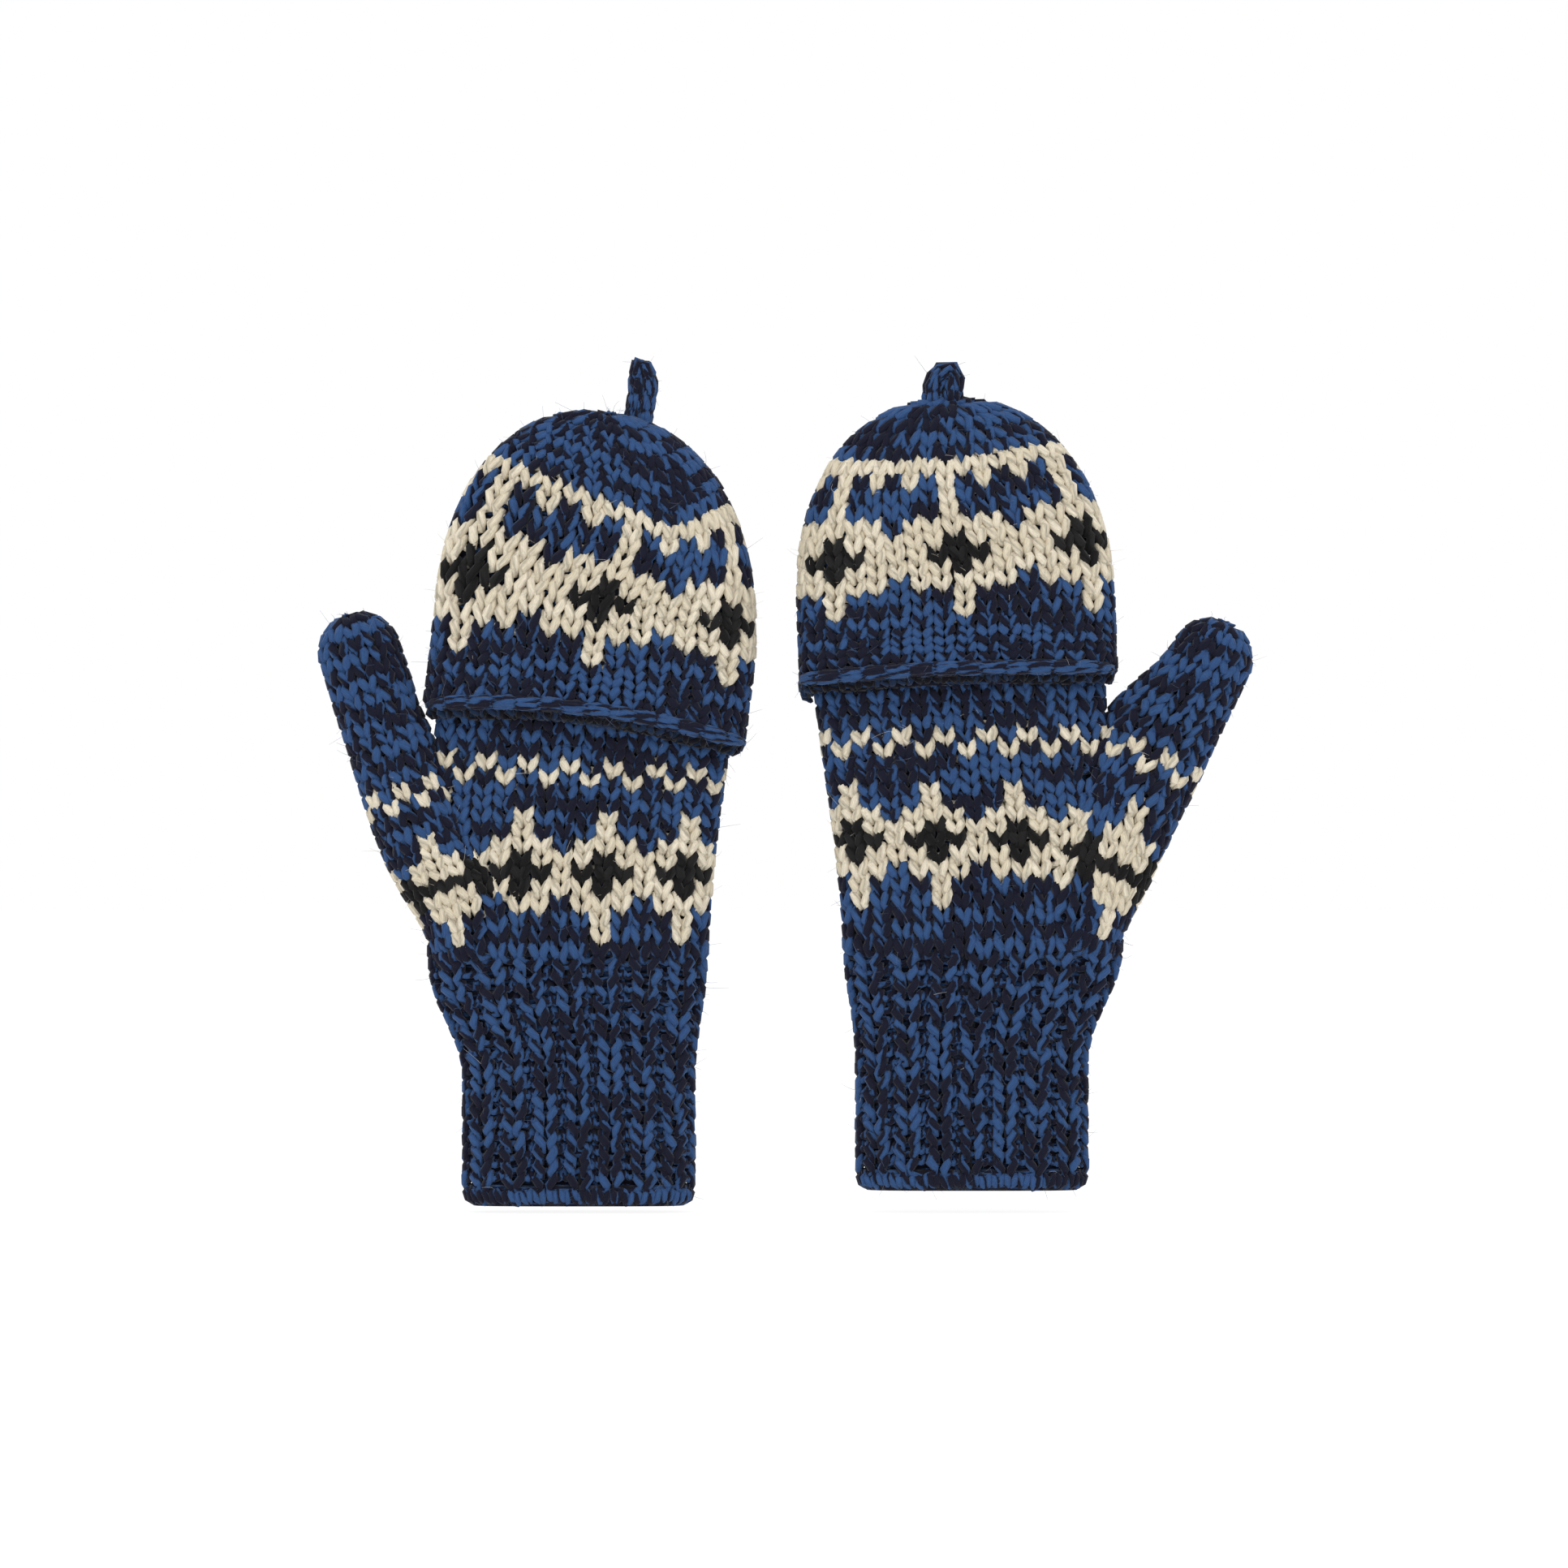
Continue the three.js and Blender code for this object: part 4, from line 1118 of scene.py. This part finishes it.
def rollPart(mitten, seed):
    # the fabric curls under at the edge: courses round a quarter of a circle and beyond, its yarn darkened
    # with painted shade
    shape = rimShape
    fabricSurface = slopedCourses(mitten, capSurface(mitten))
    radius = shape["rollRadius"]

    def curled(turn, level, inset):
        angle = -level / radius
        curl = radius - inset
        return fabricSurface(turn, -curl * np.sin(angle), radius - curl * np.cos(angle))

    turnAt = evenTurns(fabricSurface, 0)[0]
    columns = mitten["capColumns"] + 8
    courses = []
    for row, (level, deepest) in enumerate(shape["rollCourses"]):
        one = course(row, columns, level, shape["rollPitch"], turnAt, 0.4 * row)
        spots = curled(turnAt(one["start"] + one["width"] / 2), np.full(columns, level), 1.5)
        thumbwards = mitten["side"] * (spots[:, 0] - mitten["wristX"]) - mitten["rimOut"]
        one["keep"] = spots[:, 1] < np.where(thumbwards > 0, min(deepest, shape["thumbDepth"]), deepest)
        courses.append(one)
    part = knit(curled, courses, sleeveKnit, seed)
    # painted shade: the underside's yarn is darkened to a share of its colour where the edge curls under
    for ply in ("firstPly", "secondPly"):
        part[ply] = shape["shade"] * part[ply]
    return part


def makeRim(mitten):
    # the cap's lower edge: a chain of cast-off stitches, and below it the edge's rolled underside, darkened
    # with painted shade
    shape = rimShape
    up = capPoint(mitten, 0, 0, 1.0) - capPoint(mitten, 0, 0, 0.0)
    chain = rimRoute(mitten, fabric["wall"] / 2 - 0.5, 1.0)
    parts = cordPart(chain, up, shape, shape["chainThickness"], shape["chainHeight"], 51, shape["taper"])
    parts.append(rollPart(mitten, 53))
    parts.append(strand(chain[6:-6], 1.3, up, (yarnColours["marl"][1],) * 2))
    rim = makePiece(f"{mitten['name']}_rolled_rim", parts, materials)
    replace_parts(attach(rim, f"{mitten['name']}_cap"), f"{mitten['name']}_cap_rim")


loopShape = {"columns": 4, "pitch": 5.6, "standoff": 2.6, "core": 1.3}

def makeLoop(mitten):
    middle = (capShape["back"] + capShape["front"]) / 2
    out = mitten["crownOut"] + mitten["loopOut"]
    foot = mitten["capLength"] + loopShape["standoff"]
    line = smoothRoute(mitten["loopRoute"], 60)
    route = capPoint(mitten, out + line[:, 0], middle + 0 * line[:, 0], foot + line[:, 1])
    back = np.array([0.0, 1.0, 0.0])
    parts = cordPart(route, back, loopShape, mitten["loopRadius"], mitten["loopRadius"], 61)
    parts.append(strand(route, loopShape["core"], back, (yarnColours["marl"][1],) * 2))
    loop = makePiece(f"{mitten['name']}_crown_loop", parts, materials)
    base = capPoint(mitten, out, middle, mitten["capLength"] - 1) * metre
    tip = capPoint(mitten, out, middle, foot + 2) * metre
    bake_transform(loop)
    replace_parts(loop, f"{mitten['name']}_loop")


seamShape = {"halfLength": 33.0, "radius": 1.1, "reachUp": 3.2, "reachOut": 2.3, "turns": 11, "inset": 1.1,
             "core": 1.5, "coreInset": 1.4}

def makeSeam(mitten):
    # whip stitches: a helix of yarn round the line where the cap's back meets the knuckles
    shape = seamShape
    turn = np.linspace(0, 2 * np.pi * shape["turns"], shape["turns"] * 18)
    across = shape["halfLength"] * (2 * turn / turn[-1] - 1)
    deep = capShape["hingeDepth"] - shape["inset"] + shape["reachOut"] * np.cos(turn)
    rise = capShape["hingeRise"] + shape["reachUp"] * np.sin(turn)
    route = capPoint(mitten, across, deep, rise)
    side = capPoint(mitten, 1.0, 0, 0) - capPoint(mitten, 0.0, 0, 0)
    whip = strand(route, shape["radius"], side, yarnColours["marl"])
    ends = capPoint(mitten, np.linspace(-1, 1, 40) * shape["halfLength"],
                    np.full(40, capShape["hingeDepth"] - shape["coreInset"]),
                    np.full(40, capShape["hingeRise"]))
    core = strand(ends, shape["core"], np.array([0.0, 1.0, 0.0]), (yarnColours["marl"][1],) * 2)
    seam = makePiece(f"{mitten['name']}_whipped_seam", [whip, core, fuzzPart(whip, 72)], materials)
    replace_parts(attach(seam, f"{mitten['name']}_mitten"), f"{mitten['name']}_knuckle_seam")


# each finger's sleeve has a share of the hand's width and a height
sleeveShape = {
    "halfDepth": 7.2, "squareness": 2.0, "gap": 0.5, "stitchWidth": 6.2, "pitch": 4.2,
    "feltInset": 2.4, "felt": 0.6,
    "fingers": (("index", 0.25, 14.0), ("middle", 0.26, 17.0), ("ring", 0.25, 14.5), ("little", 0.24, 11.0)),
}

def makeSleeves(mitten):
    # four open finger tubes side by side above the knuckles
    shape = sleeveShape
    edge = mitten["handHalfWidth"] - fabric["wall"]
    room = 2 * edge - shape["gap"] * (len(shape["fingers"]) - 1)
    for number, (finger, share, height) in enumerate(shape["fingers"]):
        halfWidth = room * share / 2
        middle = edge - halfWidth
        base = capShape["hingeRise"] - capShape["seamDrop"]

        def surface(turn, level, inset):
            across, deep = section(turn, shape["squareness"])
            return capPoint(mitten, middle + across * (halfWidth - inset),
                            deep * (shape["halfDepth"] - inset), base + level)

        turnAt, girth = evenTurns(surface, 0)
        columns = round(girth / shape["stitchWidth"])
        rows = round(height / shape["pitch"])
        pitch = height / rows
        courses = [course(row, columns, pitch * (row + 0.5), pitch, turnAt) for row in range(rows)]
        stitches = knit(surface, courses, sleeveKnit, 81 + number)
        levels = np.linspace(0.3, height - 1.2, 6)
        wall = wallPart(surface, levels, shape["feltInset"], shape["felt"], cells=40)
        name = f"{mitten['name']}_{finger}_sleeve"
        sleeve = makePiece(f"{name}_knit", [stitches, fuzzPart(stitches, 91 + number), wall], materials)
        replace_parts(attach(sleeve, f"{mitten['name']}_mitten"), name)
        edge -= 2 * halfWidth + shape["gap"]


horn = {"dark": (28, 22, 20), "light": (92, 66, 46), "streaks": (110.0, 60.0, 520.0),
        "ramp": (0.36, 0.66), "roughness": (0.28, 0.46), "bump": 0.15}

def hornMaterial():
    # polished dark horn with soft streaks across the disc
    material = bpy.data.materials.new("polished horn")
    material.use_nodes = True
    tree = material.node_tree
    surface = tree.nodes["Principled BSDF"]
    where = addNode(tree, "ShaderNodeTexCoord").outputs["Object"]
    stretched = addNode(tree, "ShaderNodeVectorMath", {0: where, 1: horn["streaks"]}, operation="MULTIPLY")
    streak = addNode(tree, "ShaderNodeTexNoise", {"Vector": stretched.outputs[0], "Scale": 1.0, "Detail": 4.0,
                                                  "Distortion": 0.8})
    shades = addNode(tree, "ShaderNodeValToRGB", {"Fac": streak.outputs["Fac"]})
    for stop, position, tone in zip(shades.color_ramp.elements, horn["ramp"], ("dark", "light")):
        stop.position = position
        stop.color = (*linear(horn[tone]), 1)
    smooth, rough = horn["roughness"]
    wear = addNode(tree, "ShaderNodeMapRange",
                   {"Value": streak.outputs["Fac"], "To Min": smooth, "To Max": rough})
    raised = addNode(tree, "ShaderNodeBump", {"Strength": horn["bump"], "Distance": 0.0002,
                                              "Height": streak.outputs["Fac"]})
    tree.links.new(shades.outputs["Color"], surface.inputs["Base Color"])
    tree.links.new(wear.outputs["Result"], surface.inputs["Roughness"])
    tree.links.new(raised.outputs["Normal"], surface.inputs["Normal"])
    return material


# thread through the button's holes and round its shank
threadShape = {"radius": 0.55, "sides": 6, "holeSpread": 2.0, "sunk": 0.35, "winding": 1.35, "turns": 3,
               "post": 1.2}

def makeButton(mitten, material):
    # the button keeps its CAD shape; thread comes up through its holes and winds round the shank
    name = mitten["name"]
    button = frame["nodes"][f"{name}_button"]
    for socket in button.material_slots:
        socket.material = material
    low, high = (np.array(corner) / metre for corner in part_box(f"{name}_button"))
    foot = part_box(f"{name}_button_shank")[0].y / metre
    middle = (low + high) / 2
    shape = threadShape
    spread, face, sides = shape["holeSpread"], high[1] - shape["sunk"], shape["sides"]
    back = low[1] - 0.3
    across = np.array([-1, -1, -1, -0.8, -0.3, 0.3, 0.8, 1, 1, 1]) * spread
    deep = np.array([back, mix(back, face, 0.4), face - 0.9, face - 0.2, face, face, face - 0.2, face - 0.9,
                     mix(back, face, 0.4), back])
    parts = []
    for height in (-spread, spread):
        corners = np.stack([middle[0] + across, deep, np.full(10, middle[2] + height)], -1)
        parts.append(strand(smoothRoute(corners, 40), shape["radius"], np.array([0.0, 0.0, 1.0]),
                            yarnColours["black"], sides))
    turn = np.linspace(0, 2 * np.pi * shape["turns"], 18 * shape["turns"])
    rise = np.linspace(foot + 0.4, low[1] - 0.5, len(turn))
    winding = np.stack([middle[0] + shape["winding"] * np.cos(turn), rise,
                        middle[2] + shape["winding"] * np.sin(turn)], -1)
    parts.append(strand(winding, shape["radius"], np.array([0.0, 1.0, 0.0]), yarnColours["black"], sides))
    post = np.linspace([middle[0], foot, middle[2]], [middle[0], low[1] + 0.4, middle[2]], 5)
    parts.append(strand(post, shape["post"], np.array([0.0, 0.0, 1.0]), yarnColours["black"]))
    thread = makePiece(f"{name}_button_stitches", parts, materials)
    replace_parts(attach(thread, f"{name}_mitten"), f"{name}_button_shank")


room = {
    "sky": 1.0, "floorHalf": 6.0, "floorDrop": 0.002, "floorShade": 0.15, "floorGlow": 0.9, "aim": 0.14,
    "lights": {
        "key": {"at": (-0.5, -1.2, 1.6), "size": 1.0, "power": 8},
        "fill": {"at": (1.2, -1.6, 0.5), "size": 1.4, "power": 2},
        "back": {"at": (0.3, 1.5, 1.2), "size": 1.4, "power": 4},
    },
    "camera": (0, -2.512, 0.1356), "lens": 179.3,
}

def studio():
    # a plain pale floor, soft lights and the camera in front of the palms
    world = bpy.data.worlds.new("studio")
    bpy.context.scene.world = world
    world.use_nodes = True
    sky = world.node_tree.nodes["Background"]
    sky.inputs["Color"].default_value = (1, 1, 1, 1)
    sky.inputs["Strength"].default_value = room["sky"]
    floorMesh = bpy.data.meshes.new("floor")
    half, level = room["floorHalf"], cadLow.z - room["floorDrop"]
    floorMesh.from_pydata([(-half, -half, level), (half, -half, level), (half, half, level),
                           (-half, half, level)], [], [(0, 1, 2, 3)])
    floor = bpy.data.objects.new("floor", floorMesh)
    bpy.context.scene.collection.objects.link(floor)
    pale = bpy.data.materials.new("pale floor")
    pale.use_nodes = True
    shade = pale.node_tree.nodes["Principled BSDF"]
    shade.inputs["Base Color"].default_value = (*[room["floorShade"]] * 3, 1)
    shade.inputs["Roughness"].default_value = 1.0
    shade.inputs["Specular IOR Level"].default_value = 0.0
    shade.inputs["Emission Color"].default_value = (1, 1, 1, 1)
    shade.inputs["Emission Strength"].default_value = room["floorGlow"]
    floorMesh.materials.append(pale)
    target = np.array([0, 0, room["aim"]])
    for name, spec in room["lights"].items():
        lamp = bpy.data.lights.new(name, "AREA")
        lamp.size, lamp.energy = spec["size"], spec["power"]
        holder = bpy.data.objects.new(name, lamp)
        bpy.context.scene.collection.objects.link(holder)
        holder.location = spec["at"]
        aim = Vector(target - np.array(spec["at"]))
        holder.rotation_euler = aim.to_track_quat("-Z", "Y").to_euler()
    camera = bpy.data.cameras.new("camera")
    camera.lens = room["lens"]
    holder = bpy.data.objects.new("camera", camera)
    bpy.context.scene.collection.objects.link(holder)
    holder.location = room["camera"]
    holder.rotation_euler = (math.pi / 2, 0, 0)
    bpy.context.scene.camera = holder
    bpy.context.scene.view_settings.view_transform = "Standard"


polished = hornMaterial()
for mitten in (leftMitten, rightMitten):
    measureMitten(mitten)
    print(f"{mitten['name']} mitten measured")
    for make in (makeCuff, makeHand, makeThumb, makeCap, makeRim, makeLoop, makeSeam, makeSleeves):
        make(mitten)
    makeButton(mitten, polished)
    print(f"{mitten['name']} mitten knitted")

studio()
print("studio set")
